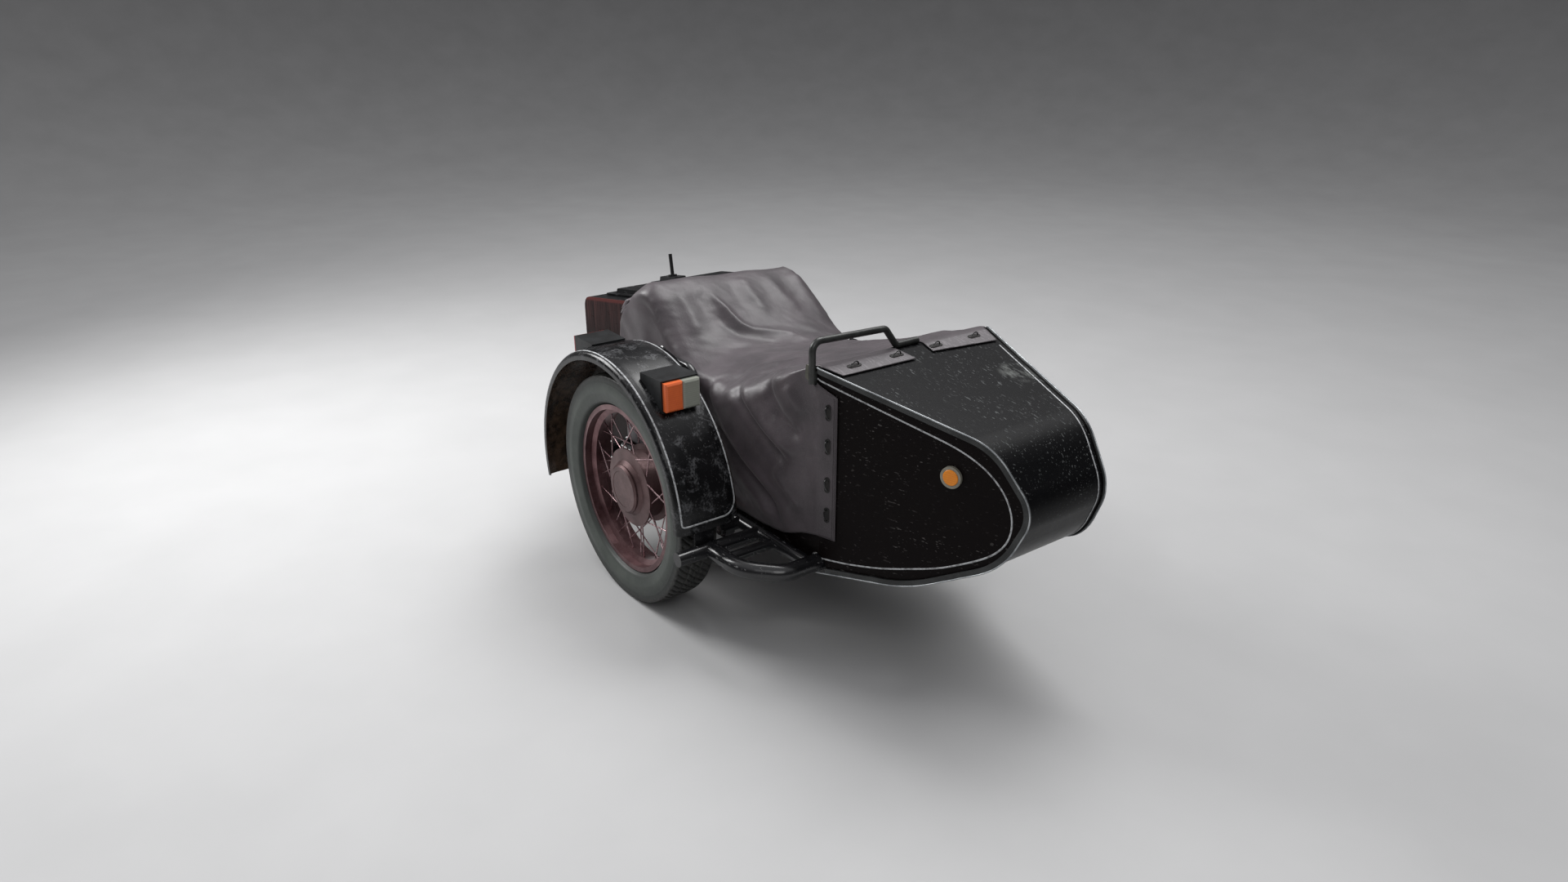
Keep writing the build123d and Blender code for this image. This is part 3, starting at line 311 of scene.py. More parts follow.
def simple_metal(name, base, dark, metallic, rough, shine=0.5):
    """Metal or enamel with cloudy tone, fine grain and light scratches."""
    material, tree, shader = new_material(name)
    coords = place(tree)
    tone = ramp(clouds(coords, 16, 6, 0.6), 0.35, 0.65)
    marks = flecks(tree, 0.007, 0.0014, (0.4, 0.8, 0.3), 0.66, 5.0)
    pale = [min(1, 2.2 * c + 0.03) for c in base]
    fine = clouds(coords, 180, 4)
    connect(shader, {
        "Base Color": blend_color(marks * 0.4, blend_color(tone, dark, base), pale),
        "Metallic": metallic,
        "Roughness": fine * 0.16 + (rough - 0.08) + marks * 0.1,
        "Specular IOR Level": shine,
    })
    set_bump(shader, fine, 0.08, 0.001)
    return material


# Where the front bands of the cover begin: x and the lowest height
BAND_START_X = 0.618
BAND_LOW_Z = 0.458


def leatherette(name, base, shade, pale):
    """Coated cloth: pebbled grain, cloudy colour, greyer where it is rubbed."""
    material, tree, shader = new_material(name)
    coords = place(tree)
    grain = clouds(coords, 420, 3)
    colour = blend_color(ramp(clouds(coords, 9, 6, 0.65), 0.3, 0.7), shade, base)
    colour = blend_color(ramp(grain, 0.50, 0.68) * 0.4, colour, pale)
    rubbed = ramp(clouds(coords, 26, 9, 0.72, 0.8), 0.55, 0.72)
    colour = blend_color(rubbed * 0.45, colour, pale)
    # the two front bands are paler and scuffed
    x, y, z = position(tree)
    band = ramp(x, BAND_START_X, BAND_START_X + 0.010) * ramp(z, BAND_LOW_Z, BAND_LOW_Z + 0.008)
    scuffs = flecks(tree, 0.030, 0.006, (0.0, 0.0, -0.5), 0.56, 9.0)
    faded = blend_color(scuffs, [1.15 * c for c in pale], [1.8 * c for c in pale])
    pebbles = add(tree, "ShaderNodeTexVoronoi", "Distance", {"Vector": coords, "Scale": 420.0},
                  feature="SMOOTH_F1")
    creases = clouds(place(tree, (34, 90, 60), (0.0, 0.0, 0.6)), 1.0, 7, 0.7, 0.5)
    set_bump(shader, pebbles * 0.22 + creases, 0.30, 0.0020)
    connect(shader, {
        "Base Color": blend_color(band * 0.8, colour, faded),
        "Roughness": grain * 0.18 + 0.35 + rubbed * 0.12,
        "Sheen Weight": 0.08,
        "Sheen Roughness": 0.5,
        "Specular IOR Level": 0.5,
    })
    return material


def lens_plastic(name, base, deep):
    """Moulded lamp plastic with fine ribs behind a smooth face."""
    material, tree, shader = new_material(name)
    coords = place(tree)
    ribs = add(tree, "ShaderNodeTexWave", "Fac", {"Vector": coords, "Scale": 55.0, "Distortion": 0.2},
               bands_direction="Z")
    colour = blend_color(ribs * 0.25 + clouds(coords, 30) * 0.6, deep, base)
    dust = flecks(tree, 0.006, 0.002, (0.3, 0.5, 0.2), 0.64, 21.0)
    connect(shader, {
        "Base Color": blend_color(dust * 0.3, colour, [0.6 * c for c in deep]),
        "Roughness": 0.3,
        "Specular IOR Level": 0.35,
    })
    set_bump(shader, ribs, 0.1, 0.0006)
    return material


def tyre_rubber():
    """Old rubber: a smooth grey-green sidewall with painted shade towards the rim and the tread, and a dark
    worn tread.
    """
    material, tree, shader = new_material("tyre_rubber")
    coords = place(tree)
    x, y, z = position(tree)
    radius = (x * x + z * z).maths("SQRT")
    tone = ramp(clouds(coords, 9, 4, 0.55), 0.25, 0.75)
    side = blend_color(tone, (0.040, 0.047, 0.042), (0.068, 0.078, 0.069))
    # painted shade: darker towards the rim and towards the tread's shoulder
    ends = highest([ramp(radius, 0.276, 0.251), ramp(radius, 0.300, 0.328)])
    side = blend_color(ends * 0.75, side, (0.016, 0.018, 0.017))
    dirt = ramp(clouds(coords, 120, 5, 0.7), 0.4, 0.65)
    dark = blend_color(dirt, (0.012, 0.012, 0.012), (0.042, 0.042, 0.038))
    connect(shader, {
        "Base Color": blend_color(ramp(radius, TYRE_RADIUS - 0.020, TYRE_RADIUS - 0.006), side, dark),
        "Roughness": clouds(coords, 90, 3) * 0.18 + 0.42,
        "Specular IOR Level": 0.4,
    })
    rings = (radius * 1500.0).maths("SINE")
    set_bump(shader, rings * 0.06 + clouds(coords, 260, 4), 0.14, 0.001)
    return material


def line_paint():
    """Thin hand-painted line, off-white with chips and dirt."""
    material, tree, shader = new_material("line_paint")
    tone = ramp(clouds(place(tree), 90, 6, 0.72), 0.34, 0.56)
    connect(shader, {
        "Base Color": blend_color(tone, (0.13, 0.13, 0.135), (0.42, 0.43, 0.44)),
        "Roughness": tone * 0.1 + 0.28,
    })
    set_bump(shader, tone, 0.2, 0.0004)
    return material


# Metals and enamels: lit colour, dark colour, metallic, roughness, and shine where it isn't 0.5
METALS = {
    "trim": ((0.014, 0.014, 0.015), (0.006, 0.006, 0.007), 0.0, 0.30),
    "lamp_case": ((0.013, 0.014, 0.015), (0.005, 0.005, 0.005), 0.0, 0.40, 0.3),
    "handle_paint": ((0.045, 0.047, 0.044), (0.020, 0.021, 0.020), 0.3, 0.34),
    "bead_trim": ((0.030, 0.032, 0.032), (0.010, 0.011, 0.011), 0.2, 0.34),
    "bead_silver": ((0.42, 0.44, 0.45), (0.16, 0.17, 0.18), 0.4, 0.30),
    # the pale bar on the bead's top edge, a painted highlight
    "ring_metal": ((0.24, 0.23, 0.19), (0.13, 0.12, 0.10), 0.3, 0.42),
    "hook_metal": ((0.11, 0.11, 0.11), (0.03, 0.03, 0.03), 0.9, 0.30),
    # dark slot rims, and the painted shade in the slots' openings
    "slot_dark": ((0.008, 0.006, 0.005), (0.003, 0.002, 0.002), 0.0, 0.7),
    "foot_plate": ((0.10, 0.10, 0.078), (0.055, 0.054, 0.045), 0.2, 0.5),
    "wheel_metal": ((0.205, 0.118, 0.122), (0.115, 0.058, 0.062), 0.85, 0.34),
    "hub_metal": ((0.135, 0.082, 0.082), (0.085, 0.048, 0.048), 0.6, 0.42),
    "spoke_steel": ((0.46, 0.33, 0.34), (0.22, 0.13, 0.14), 1.0, 0.28),
    "bare_steel": ((0.45, 0.45, 0.46), (0.2, 0.19, 0.18), 1.0, 0.34),
    "mount_rubber": ((0.02, 0.02, 0.02), (0.01, 0.01, 0.01), 0.0, 0.7),
}
# Lenses: lit colour, deep colour
LENSES = {
    "amber_lens": ((0.78, 0.165, 0.045), (0.56, 0.10, 0.03)),
    "amber_reflector": ((0.86, 0.30, 0.02), (0.62, 0.18, 0.01)),
    "clear_lens": ((0.30, 0.31, 0.27), (0.20, 0.21, 0.18)),
    "red_lens": ((0.32, 0.012, 0.012), (0.18, 0.006, 0.006)),
}
MATERIALS = {
    "body_paint": body_paint(),
    "side_paint": side_paint(),
    "fender_paint": fender_paint(),
    "frame_paint": worn_paint("frame_paint", (0.007, 0.007, 0.008), (0.16, 0.16, 0.16),
                              (0.030, 0.030, 0.030), 0.68, 0.58, 0.20, 0.65),
    "tyre_rubber": tyre_rubber(),
    "line_paint": line_paint(),
    "cover_leatherette": leatherette("cover_leatherette", (0.060, 0.047, 0.054),
                                     (0.032, 0.025, 0.029), (0.086, 0.078, 0.083)),
    "seat_leather": leatherette("seat_leather", (0.05, 0.03, 0.028), (0.03, 0.02, 0.02),
                                (0.07, 0.05, 0.045)),
    **{name: simple_metal(name, *row) for name, row in METALS.items()},
    **{name: lens_plastic(name, *row) for name, row in LENSES.items()},
}
# CAD nodes that look unlike the rest of their slot
NODE_MATERIALS = {
    "fender": "fender_paint",
    "reflector_bezel": "ring_metal",
    "side_reflector": "amber_reflector",
    "front_lamp_housing": "lamp_case",
    "rear_lamp_housing": "lamp_case",
    "grab_handle": "handle_paint",
    "edge_bead_right": "bead_trim",
    "edge_bead_left": "bead_trim",
    "hub_cap": "hub_metal",
    "hub": "hub_metal",
}


def dress_cad_nodes():
    """Gives every CAD node the material of its slot."""
    for row in frame["record"]["subparts"]:
        node = NODES[row["node"]]
        name = NODE_MATERIALS.get(row["node"], row["material_slot"])
        node.data.materials.clear()
        node.data.materials.append(MATERIALS[name])


# Geometry helpers. Points are measured from the wheel's centre on the tyre's outer face.

def smooth_mesh(name, points, faces, material):
    mesh = bpy.data.meshes.new(name)
    mesh.from_pydata([tuple(p) for p in points], [], faces)
    mesh.update()
    mesh.shade_smooth()
    mesh.materials.append(material)
    return new_object(name, mesh)


def mesh_piece(name, points, faces, material, body="chassis", replaces=()):
    """A piece that rides a body, from points measured from the wheel's centre."""
    piece = smooth_mesh(name, np.asarray(points) + np.array(HUB), faces, MATERIALS[material])
    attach(piece, body)
    for node in replaces:
        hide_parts(node)
    return piece


def grid_faces(rows, columns, close_rows=False, close_columns=False):
    """Quads of a grid whose points are stored row by row."""
    faces = []
    for i in range(rows if close_rows else rows - 1):
        for j in range(columns if close_columns else columns - 1):
            a, b = i, (i + 1) % rows
            c, d = j, (j + 1) % columns
            faces.append((a * columns + c, b * columns + c, b * columns + d, a * columns + d))
    return faces


def even(points, step):
    """The same line with points at even distances."""
    points = np.asarray(points, dtype=float)
    gaps = np.linalg.norm(np.diff(points, axis=0), axis=1)
    along = np.concatenate(([0], np.cumsum(gaps)))
    marks = np.linspace(0, along[-1], max(2, int(round(along[-1] / step)) + 1))
    return np.stack([np.interp(marks, along, column) for column in points.T], axis=1)


def soften(points, times):
    """Rounds a line's corners, with its ends kept."""
    points = np.array(points, dtype=float)
    for _ in range(times):
        points[1:-1] = 0.25 * points[:-2] + 0.5 * points[1:-1] + 0.25 * points[2:]
    return points


def rounded(rows, closed=False, step=0.004):
    """A line in two coordinates with arcs at its corners, from rows of both and a radius."""
    line = []
    for i, (a, b, radius) in enumerate(rows):
        corner = np.array((a, b))
        if radius == 0 or (not closed and i in (0, len(rows) - 1)):
            line.append(corner)
            continue
        before = np.array(rows[i - 1][:2]) - corner
        after = np.array(rows[(i + 1) % len(rows)][:2]) - corner
        before = before / np.linalg.norm(before)
        after = after / np.linalg.norm(after)
        half = 0.5 * math.acos(max(-1, min(1, before @ after)))
        middle = (before + after) / np.linalg.norm(before + after)
        centre = corner + middle * radius / math.sin(half)
        start = corner + before * radius / math.tan(half) - centre
        end = corner + after * radius / math.tan(half) - centre
        first = math.atan2(start[1], start[0])
        turn = (math.atan2(end[1], end[0]) - first + math.pi) % (2 * math.pi) - math.pi
        count = max(3, int(abs(turn) * radius / step) + 1)
        for angle in np.linspace(first, first + turn, count):
            line.append(centre + radius * np.array((math.cos(angle), math.sin(angle))))
    if closed:
        line.append(line[0])
    return np.array(line)


LINE_THICK = 0.0006


def unit(vectors):
    return vectors / np.linalg.norm(vectors, axis=-1, keepdims=True)


def ribbon(name, line, outward, width):
    """A painted line, as a thin raised strip that follows a line on a surface."""
    line = np.asarray(line)
    outward = unit(np.broadcast_to(np.asarray(outward, dtype=float), line.shape))
    side = unit(np.cross(np.gradient(line, axis=0), outward))
    rows = []
    for across, up in ((-0.5, -0.5), (-0.38, 1), (0.38, 1), (0.5, -0.5)):
        rows.append(line + side * across * width + outward * up * LINE_THICK)
    points = np.stack(rows, axis=1).reshape(-1, 3)
    faces = grid_faces(len(line), 4, close_columns=True)
    last = (len(line) - 1) * 4
    faces += [(3, 2, 1, 0), (last, last + 1, last + 2, last + 3)]
    mesh_piece(name, points, faces, "line_paint")


def tube(line, radius, sides):
    """Points and faces of a round bar along a line."""
    line = np.asarray(line, dtype=float)
    along = unit(np.gradient(line, axis=0))
    guide = np.array((0.31, 0.52, 0.79))
    first = unit(np.cross(along, guide))
    second = np.cross(along, first)
    angles = np.linspace(0, 2 * math.pi, sides, endpoint=False)
    rows = [line + radius * (first * math.cos(a) + second * math.sin(a)) for a in angles]
    points = np.stack(rows, axis=1).reshape(-1, 3)
    faces = grid_faces(len(line), sides, close_columns=True)
    last = (len(line) - 1) * sides
    faces.append(tuple(range(sides))[::-1])
    faces.append(tuple(last + k for k in range(sides)))
    return points, faces


def joined(parts):
    """Several point and face lists as one."""
    points, faces = [], []
    for more, rings in parts:
        start = len(points)
        points.extend(more)
        faces.extend(tuple(start + k for k in ring) for ring in rings)
    return points, faces


def ease(value, low, high):
    """0 below low, 1 above high, smooth between."""
    share = np.clip((value - low) / (high - low), 0, 1)
    return share * share * (3 - 2 * share)


# Body form: side outline's x, z and corner radius, along the bottom and nose, then back over the top

BODY_LOWER = [
    (-0.650, -0.075, 0.090), (0.600, -0.075, 0.300), (0.880, -0.028, 0.400),
    (1.115, 0.105, 0.200), (1.180, 0.258, 0.090),
]
BODY_UPPER = [
    (1.075, 0.393, 0.150), (0.600, 0.489, 0.060), (0.190, 0.285, 0.120), (0.010, 0.285, 0.080),
    (DECK_X, DECK_TOP, 0.015), (-0.650, 0.407, 0.040),
]
# The body's middle and half width, and the nose's taper in plan
BODY_MIDDLE = 0.550
BODY_HALF = 0.294
TAPER_START = 0.622
TAPER = 0.303


def half_width(x):
    """Half the body's width at an x."""
    return BODY_HALF - TAPER * np.maximum(0, x - TAPER_START)


def on_side(line, sign, lift):
    """Points on a side panel's face from a line in x and z, and the outward directions."""
    x, z = np.asarray(line).T
    points = np.stack((x, BODY_MIDDLE + sign * (half_width(x) + lift), z), axis=1)
    out = np.stack((TAPER * (x > TAPER_START), np.full(len(x), float(sign)), np.zeros(len(x))), axis=1)
    return points, unit(out)


# Tonneau cover, from its rear edge to its front bands: x, height, shoulder radius

COVER_STATIONS = [
    (-0.305, 0.464, 0.010), (-0.300, 0.484, 0.022), (-0.291, 0.499, 0.036), (-0.276, 0.510, 0.048),
    (-0.255, 0.516, 0.056), (-0.228, 0.515, 0.060), (-0.190, 0.503, 0.062), (-0.140, 0.472, 0.066),
    (-0.080, 0.432, 0.055), (-0.020, 0.397, 0.050), (0.045, 0.376, 0.050), (0.110, 0.371, 0.054),
    (0.190, 0.380, 0.082), (0.300, 0.405, 0.082), (0.400, 0.428, 0.066), (0.490, 0.452, 0.034),
    (0.530, 0.464, 0.013), (0.560, 0.4755, 0.008), (0.580, 0.4845, 0.006), (0.590, 0.4880, 0.005),
    (0.600, 0.4905, 0.005), (0.612, 0.4905, 0.005), (0.624, 0.4895, 0.005), (0.692, 0.4758, 0.005),
]
# The same beside the trunk, where the cover reaches farther back
SIDE_START_X = -0.225
SIDE_STRETCH = 2.04
SIDE_STATIONS = [
    (-0.388, 0.402, 0.030), (-0.378, 0.424, 0.038), (-0.362, 0.450, 0.046), (-0.340, 0.472, 0.052),
    (-0.305, 0.494, 0.058), (-0.265, 0.508, 0.060), (-0.225, 0.5145, 0.060),
]
# The trunk's deck with the cover's room above it
COVER_DECK_Z = DECK_TOP + 0.0045
# Slope of the top where the shoulder starts, which fades out over a width: x, slope
CROWN_SLOPE = [(-0.240, 0.0), (-0.190, 0.10), (-0.140, 0.18), (-0.080, 0.30), (-0.020, 0.40), (0.045, 0.50),
               (0.190, 0.54), (0.300, 0.30), (0.400, 0.10), (0.480, 0.0)]
CROWN_WIDTH = 0.20
# In front of the arch the flaps stand off the body by this much
STAND_OFF = 0.016
# Half the cover's width, the cell of its grid and the cloth's thickness
COVER_HALF = 0.2995
COVER_CELL = 0.0075
CLOTH_THICK = 0.0026
# The hem: x, height
HEM = [(-0.388, -0.023), (0.253, -0.024), (0.393, -0.023), (0.488, -0.010), (0.559, 0.017),
       (0.622, 0.033), (0.680, 0.031)]

# Where the cover is cut, first beside the trunk and at the flaps' front edges
SIDE_EDGE = 0.2885
FLAP_FRONT_X = 0.673
# The corner between the flap's top edge and the right band's outer edge in plan
CORNER_X = 0.607
FLAP_TOP_Z = 0.452
FLAP_TOP_SLOPE = 0.437
BAND_EDGE = (0.612, 0.262)
BAND_EDGE_SLANT = 0.36
# The notch round the handle's outer leg
HANDLE_NOTCH_X = (0.586, 0.610)
HANDLE_NOTCH_Y = 0.266
HANDLE_NOTCH_Z = 0.444
# The notch between the bands: its rear edge, and y and slant of both its sides
NOTCH_X = 0.573
NOTCH_SIDES = [(0.502, 0.195), (0.612, -0.173)]
# Front edges of the right and the left band: x, y and slant
BAND_FRONTS = [(0.672, 0.281, 0.0165), (0.663, 0.598, 0.102)]

# The ridge over the backrest: place along x, width, rise at the right side, its fall to the left
RIDGE_X = -0.240
RIDGE_WIDTH = 0.080
RIDGE_RISE = 0.016
RIDGE_FALL = 0.05

# The suspension arch's legs: x of both at the foot, the foot's height, and how they lean inwards
ARCH_FRONT_X = 0.130
ARCH_REAR_X = -0.170
ARCH_FOOT_Z = -0.05
ARCH_LEAN = 0.152

# Folds: height (valleys are negative), width, points along them
FOLDS = [
    (0.017, 0.017, [(-0.171, 0.442, 0.490), (-0.118, 0.455, 0.455), (-0.078, 0.463, 0.426),
                    (-0.042, 0.474, 0.402), (-0.017, 0.499, 0.387), (0.021, 0.576, 0.373),
                    (0.055, 0.607, 0.365), (0.126, 0.615, 0.362)]),
    (-0.010, 0.026, [(-0.120, 0.420, 0.440), (-0.060, 0.428, 0.410), (-0.005, 0.455, 0.385),
                     (0.045, 0.525, 0.370), (0.095, 0.565, 0.362)]),
    (0.008, 0.030, [(-0.215, 0.585, 0.500), (-0.142, 0.582, 0.472), (-0.055, 0.589, 0.410)]),
    (-0.004, 0.034, [(-0.215, 0.535, 0.500), (-0.140, 0.530, 0.470), (-0.080, 0.535, 0.430)]),
    (0.007, 0.028, [(-0.215, 0.678, 0.490), (-0.128, 0.688, 0.461), (-0.055, 0.711, 0.411)]),
    (-0.003, 0.030, [(-0.215, 0.632, 0.490), (-0.110, 0.640, 0.445)]),
    (0.009, 0.032, [(-0.215, 0.790, 0.491), (-0.137, 0.794, 0.467), (-0.018, 0.802, 0.383)]),
    (-0.004, 0.034, [(-0.215, 0.740, 0.490), (-0.090, 0.745, 0.430)]),
    (0.009, 0.032, [(-0.215, 0.345, 0.490), (-0.120, 0.345, 0.450), (-0.050, 0.330, 0.400)]),
    (-0.004, 0.030, [(-0.190, 0.395, 0.490), (-0.100, 0.395, 0.440), (-0.020, 0.380, 0.385)]),
    (0.007, 0.026, [(0.190, 0.700, 0.370), (0.330, 0.660, 0.400), (0.450, 0.690, 0.440)]),
    (0.008, 0.022, [(0.150, 0.330, 0.365), (0.280, 0.380, 0.390), (0.400, 0.450, 0.420)]),
    (-0.008, 0.026, [(0.230, 0.300, 0.370), (0.340, 0.330, 0.400), (0.430, 0.400, 0.420)]),
    (0.012, 0.026, [(0.500, 0.560, 0.452), (0.545, 0.660, 0.470), (0.555, 0.790, 0.475)]),
    (-0.007, 0.022, [(0.455, 0.300, 0.440), (0.500, 0.400, 0.455), (0.530, 0.520, 0.464)]),
]
# The same on the flaps, in x and z
FLAP_FOLDS = [
    (-0.020, 0.021, [(0.050, 0.330), (0.121, 0.249), (0.176, 0.208), (0.244, 0.167), (0.303, 0.129),
                     (0.375, 0.101), (0.430, 0.072), (0.461, 0.043), (0.492, 0.004)]),
    (0.014, 0.026, [(0.105, 0.330), (0.160, 0.265), (0.222, 0.222), (0.290, 0.182), (0.352, 0.150),
                    (0.415, 0.122), (0.475, 0.085)]),
    (-0.020, 0.022, [(0.225, 0.365), (0.300, 0.306), (0.351, 0.272), (0.401, 0.245), (0.461, 0.217),
                     (0.520, 0.195)]),
    (0.016, 0.026, [(0.260, 0.390), (0.332, 0.345), (0.385, 0.306), (0.435, 0.276), (0.495, 0.250),
                    (0.545, 0.230)]),
    (-0.018, 0.026, [(0.400, 0.430), (0.435, 0.365), (0.475, 0.325), (0.515, 0.300), (0.560, 0.280)]),
    (0.010, 0.026, [(0.500, 0.420), (0.530, 0.380), (0.570, 0.350)]),
    (0.010, 0.026, [(0.225, 0.130), (0.323, 0.088), (0.396, 0.050), (0.440, 0.010)]),
    (-0.009, 0.022, [(0.180, 0.110), (0.260, 0.060), (0.320, 0.010)]),
    (0.010, 0.022, [(0.455, 0.175), (0.510, 0.135), (0.565, 0.085)]),
    (0.006, 0.030, [(-0.330, 0.330), (-0.270, 0.200), (-0.230, 0.060)]),
    (0.005, 0.030, [(-0.240, 0.420), (-0.215, 0.250), (-0.200, 0.060)]),
]


def near(points, line, width):
    """1 on a line, falling off over a width, and towards the line's ends."""
    best = np.full(len(points), 9.0)
    share = np.zeros(len(points))
    line = np.asarray(line, dtype=float)
    for i in range(len(line) - 1):
        run = line[i + 1] - line[i]
        t = np.clip((points - line[i]) @ run / (run @ run), 0, 1)
        away = np.linalg.norm(points - line[i] - t[:, None] * run, axis=1)
        closer = away < best
        best = np.where(closer, away, best)
        share = np.where(closer, (i + t) / (len(line) - 1), share)
    ends = ease(share, -0.05, 0.22) * ease(1 - share, -0.05, 0.22)
    return ends / (1 + (best / width) ** 2) ** 1.6


def wrinkles(points, along, across, turn, seed):
    """Smooth noise drawn out along a direction in plan."""
    c, s = math.cos(turn), math.sin(turn)
    values = [
        noise.noise(((x * c + y * s) / along, (-x * s + y * c) / across, z / across + seed))
        for x, y, z in points
    ]
    return np.array(values)


def cover_rows(x, height, bend):
    """The cover's cross-section at a station, from the right hem over the top to the left hem."""
    half = COVER_HALF - TAPER * max(0, x - TAPER_START)
    half += STAND_OFF * float(ease(x, 0.13, 0.25) * ease(0.60 - x, 0.0, 0.16))
    hem = np.interp(x, *np.array(HEM).T)
    slope = np.interp(x, *np.array(CROWN_SLOPE).T)
    lean = math.atan(slope)
    drop = slope * CROWN_WIDTH / 2
    start = height - drop - bend * math.cos(lean)
    low = [(half, z) for z in np.linspace(hem, start, 60)]
    turns = np.linspace(0, math.pi / 2 - lean, 18)[1:]
    arc = [(half - bend + bend * math.cos(a), start + bend * math.sin(a)) for a in turns]
    top = []
    for y in np.linspace(arc[-1][0], 0, 36)[1:]:
        left = max(0, 1 - (arc[-1][0] - y) / CROWN_WIDTH)
        top.append((y, height - drop * left * left))
    rows = low + arc + top
    right = [(-y, z) for y, z in rows]
    left = [(y, z) for y, z in reversed(rows[:-1])]
    return [(x, BODY_MIDDLE + y, z) for y, z in right + left]


def cover_grid():
    """The cover's plain form, station by station."""
    stations = soften(even(COVER_STATIONS, COVER_CELL), 2)
    middle = np.array([cover_rows(*station) for station in stations])
    sides = []
    for x, height, bend in stations:
        if x < SIDE_START_X:
            x = SIDE_START_X + SIDE_STRETCH * (x - SIDE_START_X)
            height, bend = (np.interp(x, *np.array(SIDE_STATIONS).T[[0, k]]) for k in (1, 2))
        sides.append(cover_rows(x, height, bend))
    sides = np.array(sides)
    away = np.abs(middle[:, :, 1] - BODY_MIDDLE)
    share = ease(away, COVER_HALF - 0.050, COVER_HALF - 0.022)[:, :, None]
    return middle * (1 - share) + sides * share


def arch_room(x, z):
    """0 beside the suspension arch's legs, 1 away from them."""
    inwards = ARCH_LEAN * (z - ARCH_FOOT_Z)
    front = np.abs(x - ARCH_FRONT_X + inwards)
    rear = np.abs(x - ARCH_REAR_X - inwards)
    return ease(np.minimum(front, rear), 0.022, 0.055)


def flap_shift(x, y, z, sign):
    """A flap's share of the shift: its slack, its tuck near the hem, its folds and ripples."""
    slack = ease(x, 0.02, 0.22) * ease(0.61 - x, 0.0, 0.12) * ease(z, -0.06, 0.06)
    rear = ease(-0.16 - x, 0.02, 0.12) * ease(z, 0.0, 0.15)
    tuck = ease(0.04 - z, 0.0, 0.08) * ease(x, 0.13, 0.25) * ease(0.60 - x, 0.0, 0.16)
    amount = 0.005 * slack + 0.005 * rear - 0.010 * tuck
    flat = np.stack((x, z), axis=1)
    for height, width, line in FLAP_FOLDS:
        amount += height * near(flat, line, width)
    ripples = wrinkles(np.stack((x, z, y), axis=1), 0.13, 0.045, -0.7, 11.0 + sign)
    return amount + 0.0030 * ripples * ease(0.62 - x, 0.0, 0.08)


def cover_shift(points, outward):
    """How far each point of the cover lies outside its plain form."""
    x, y, z = points.T
    shift = np.zeros(len(points))
    for height, width, line in FOLDS:
        shift += height * near(points, line, width)
    loose = ease(x, -0.30, -0.22) * ease(0.58 - x, 0.0, 0.08)
    top = ease(outward[:, 2], 0.2, 0.7)
    seat = ease(x, -0.10, 0.10)
    shift += 0.0042 * wrinkles(points, 0.18, 0.035, 0.93, 3.0) * loose * top * seat
    shift += 0.0012 * wrinkles(points, 0.06, 0.014, 0.80, 7.0) * loose * top
    ridge = np.exp(-(((x - RIDGE_X) / RIDGE_WIDTH) ** 2)) * top
    shift += ridge * (RIDGE_RISE - RIDGE_FALL * (y - BODY_MIDDLE + BODY_HALF))
    shift += ridge * 0.0022 * np.sin(y * 30 + 1.2)
    for sign in (-1, 1):
        facing = ease(sign * outward[:, 1], 0.15, 1.0)
        shift += facing * arch_room(x, z) * flap_shift(x, y, z, sign)
    return shift


def body_height(x):
    """Height of the body's upper edge at an x."""
    line = np.array(BODY_UPPER[::-1])
    return np.interp(x, line[:, 0], line[:, 1])


def slice_region(bm, point, normal, region):
    """Splits the faces in a region along a plane."""
    faces = [f for f in bm.faces if region(f.calc_center_median() - HUB)]
    edges = {e for f in faces for e in f.edges}
    verts = {v for f in faces for v in f.verts}
    bmesh.ops.bisect_plane(bm, geom=[*faces, *edges, *verts], dist=0.0002,
                           plane_co=HUB + Vector(point), plane_no=Vector(normal))


def drop_region(bm, region):
    """Deletes the faces in a region."""
    faces = [f for f in bm.faces if region(f.calc_center_median() - HUB)]
    bmesh.ops.delete(bm, geom=faces, context="FACES")


def trim_at_trunk(bm):
    """Cuts the cover along the trunk's deck, between the body's sides."""
    def behind(p):
        return p.x < DECK_X + 0.02 and p.z > 0.38

    def below_deck(p):
        between = p.x < DECK_X + 0.02 and abs(p.y - BODY_MIDDLE) < SIDE_EDGE
        return between and p.z < COVER_DECK_Z + DECK_SLOPE * (p.x - DECK_X)

    slice_region(bm, (DECK_X, 0, COVER_DECK_Z), (-DECK_SLOPE, 0, 1), behind)
    for sign in (-1, 1):
        slice_region(bm, (0, BODY_MIDDLE + sign * SIDE_EDGE, 0), (0, 1, 0), behind)
    drop_region(bm, below_deck)


def trim_corner(bm, sign):
    """Cuts away the corner between a band's outer edge and the flap's top edge."""
    edge_x, edge_y = BAND_EDGE
    edge_y = BODY_MIDDLE - sign * (edge_y - BODY_MIDDLE)

    def beside(p):
        return sign * (p.y - BODY_MIDDLE) > 0.20 and p.x > 0.57 and p.z > 0.38

    def corner(p):
        beyond = sign * (p.y - edge_y) + BAND_EDGE_SLANT * (p.x - edge_x) > 0
        above = p.z > FLAP_TOP_Z - FLAP_TOP_SLOPE * (p.x - CORNER_X)
        return beyond and above and p.x > CORNER_X and sign * (p.y - BODY_MIDDLE) > 0.15

    slice_region(bm, (edge_x, edge_y, 0), (BAND_EDGE_SLANT, sign, 0), beside)
    slice_region(bm, (CORNER_X, 0, 0), (1, 0, 0), beside)
    slice_region(bm, (CORNER_X, 0, FLAP_TOP_Z), (FLAP_TOP_SLOPE, 0, 1), beside)
    drop_region(bm, corner)


def trim_flap_fronts(bm):
    slice_region(bm, (FLAP_FRONT_X, 0, 0), (1, 0, 0), lambda p: p.x > 0.655 and p.z < 0.45)
    drop_region(bm, lambda p: p.x > FLAP_FRONT_X and p.z < 0.45)


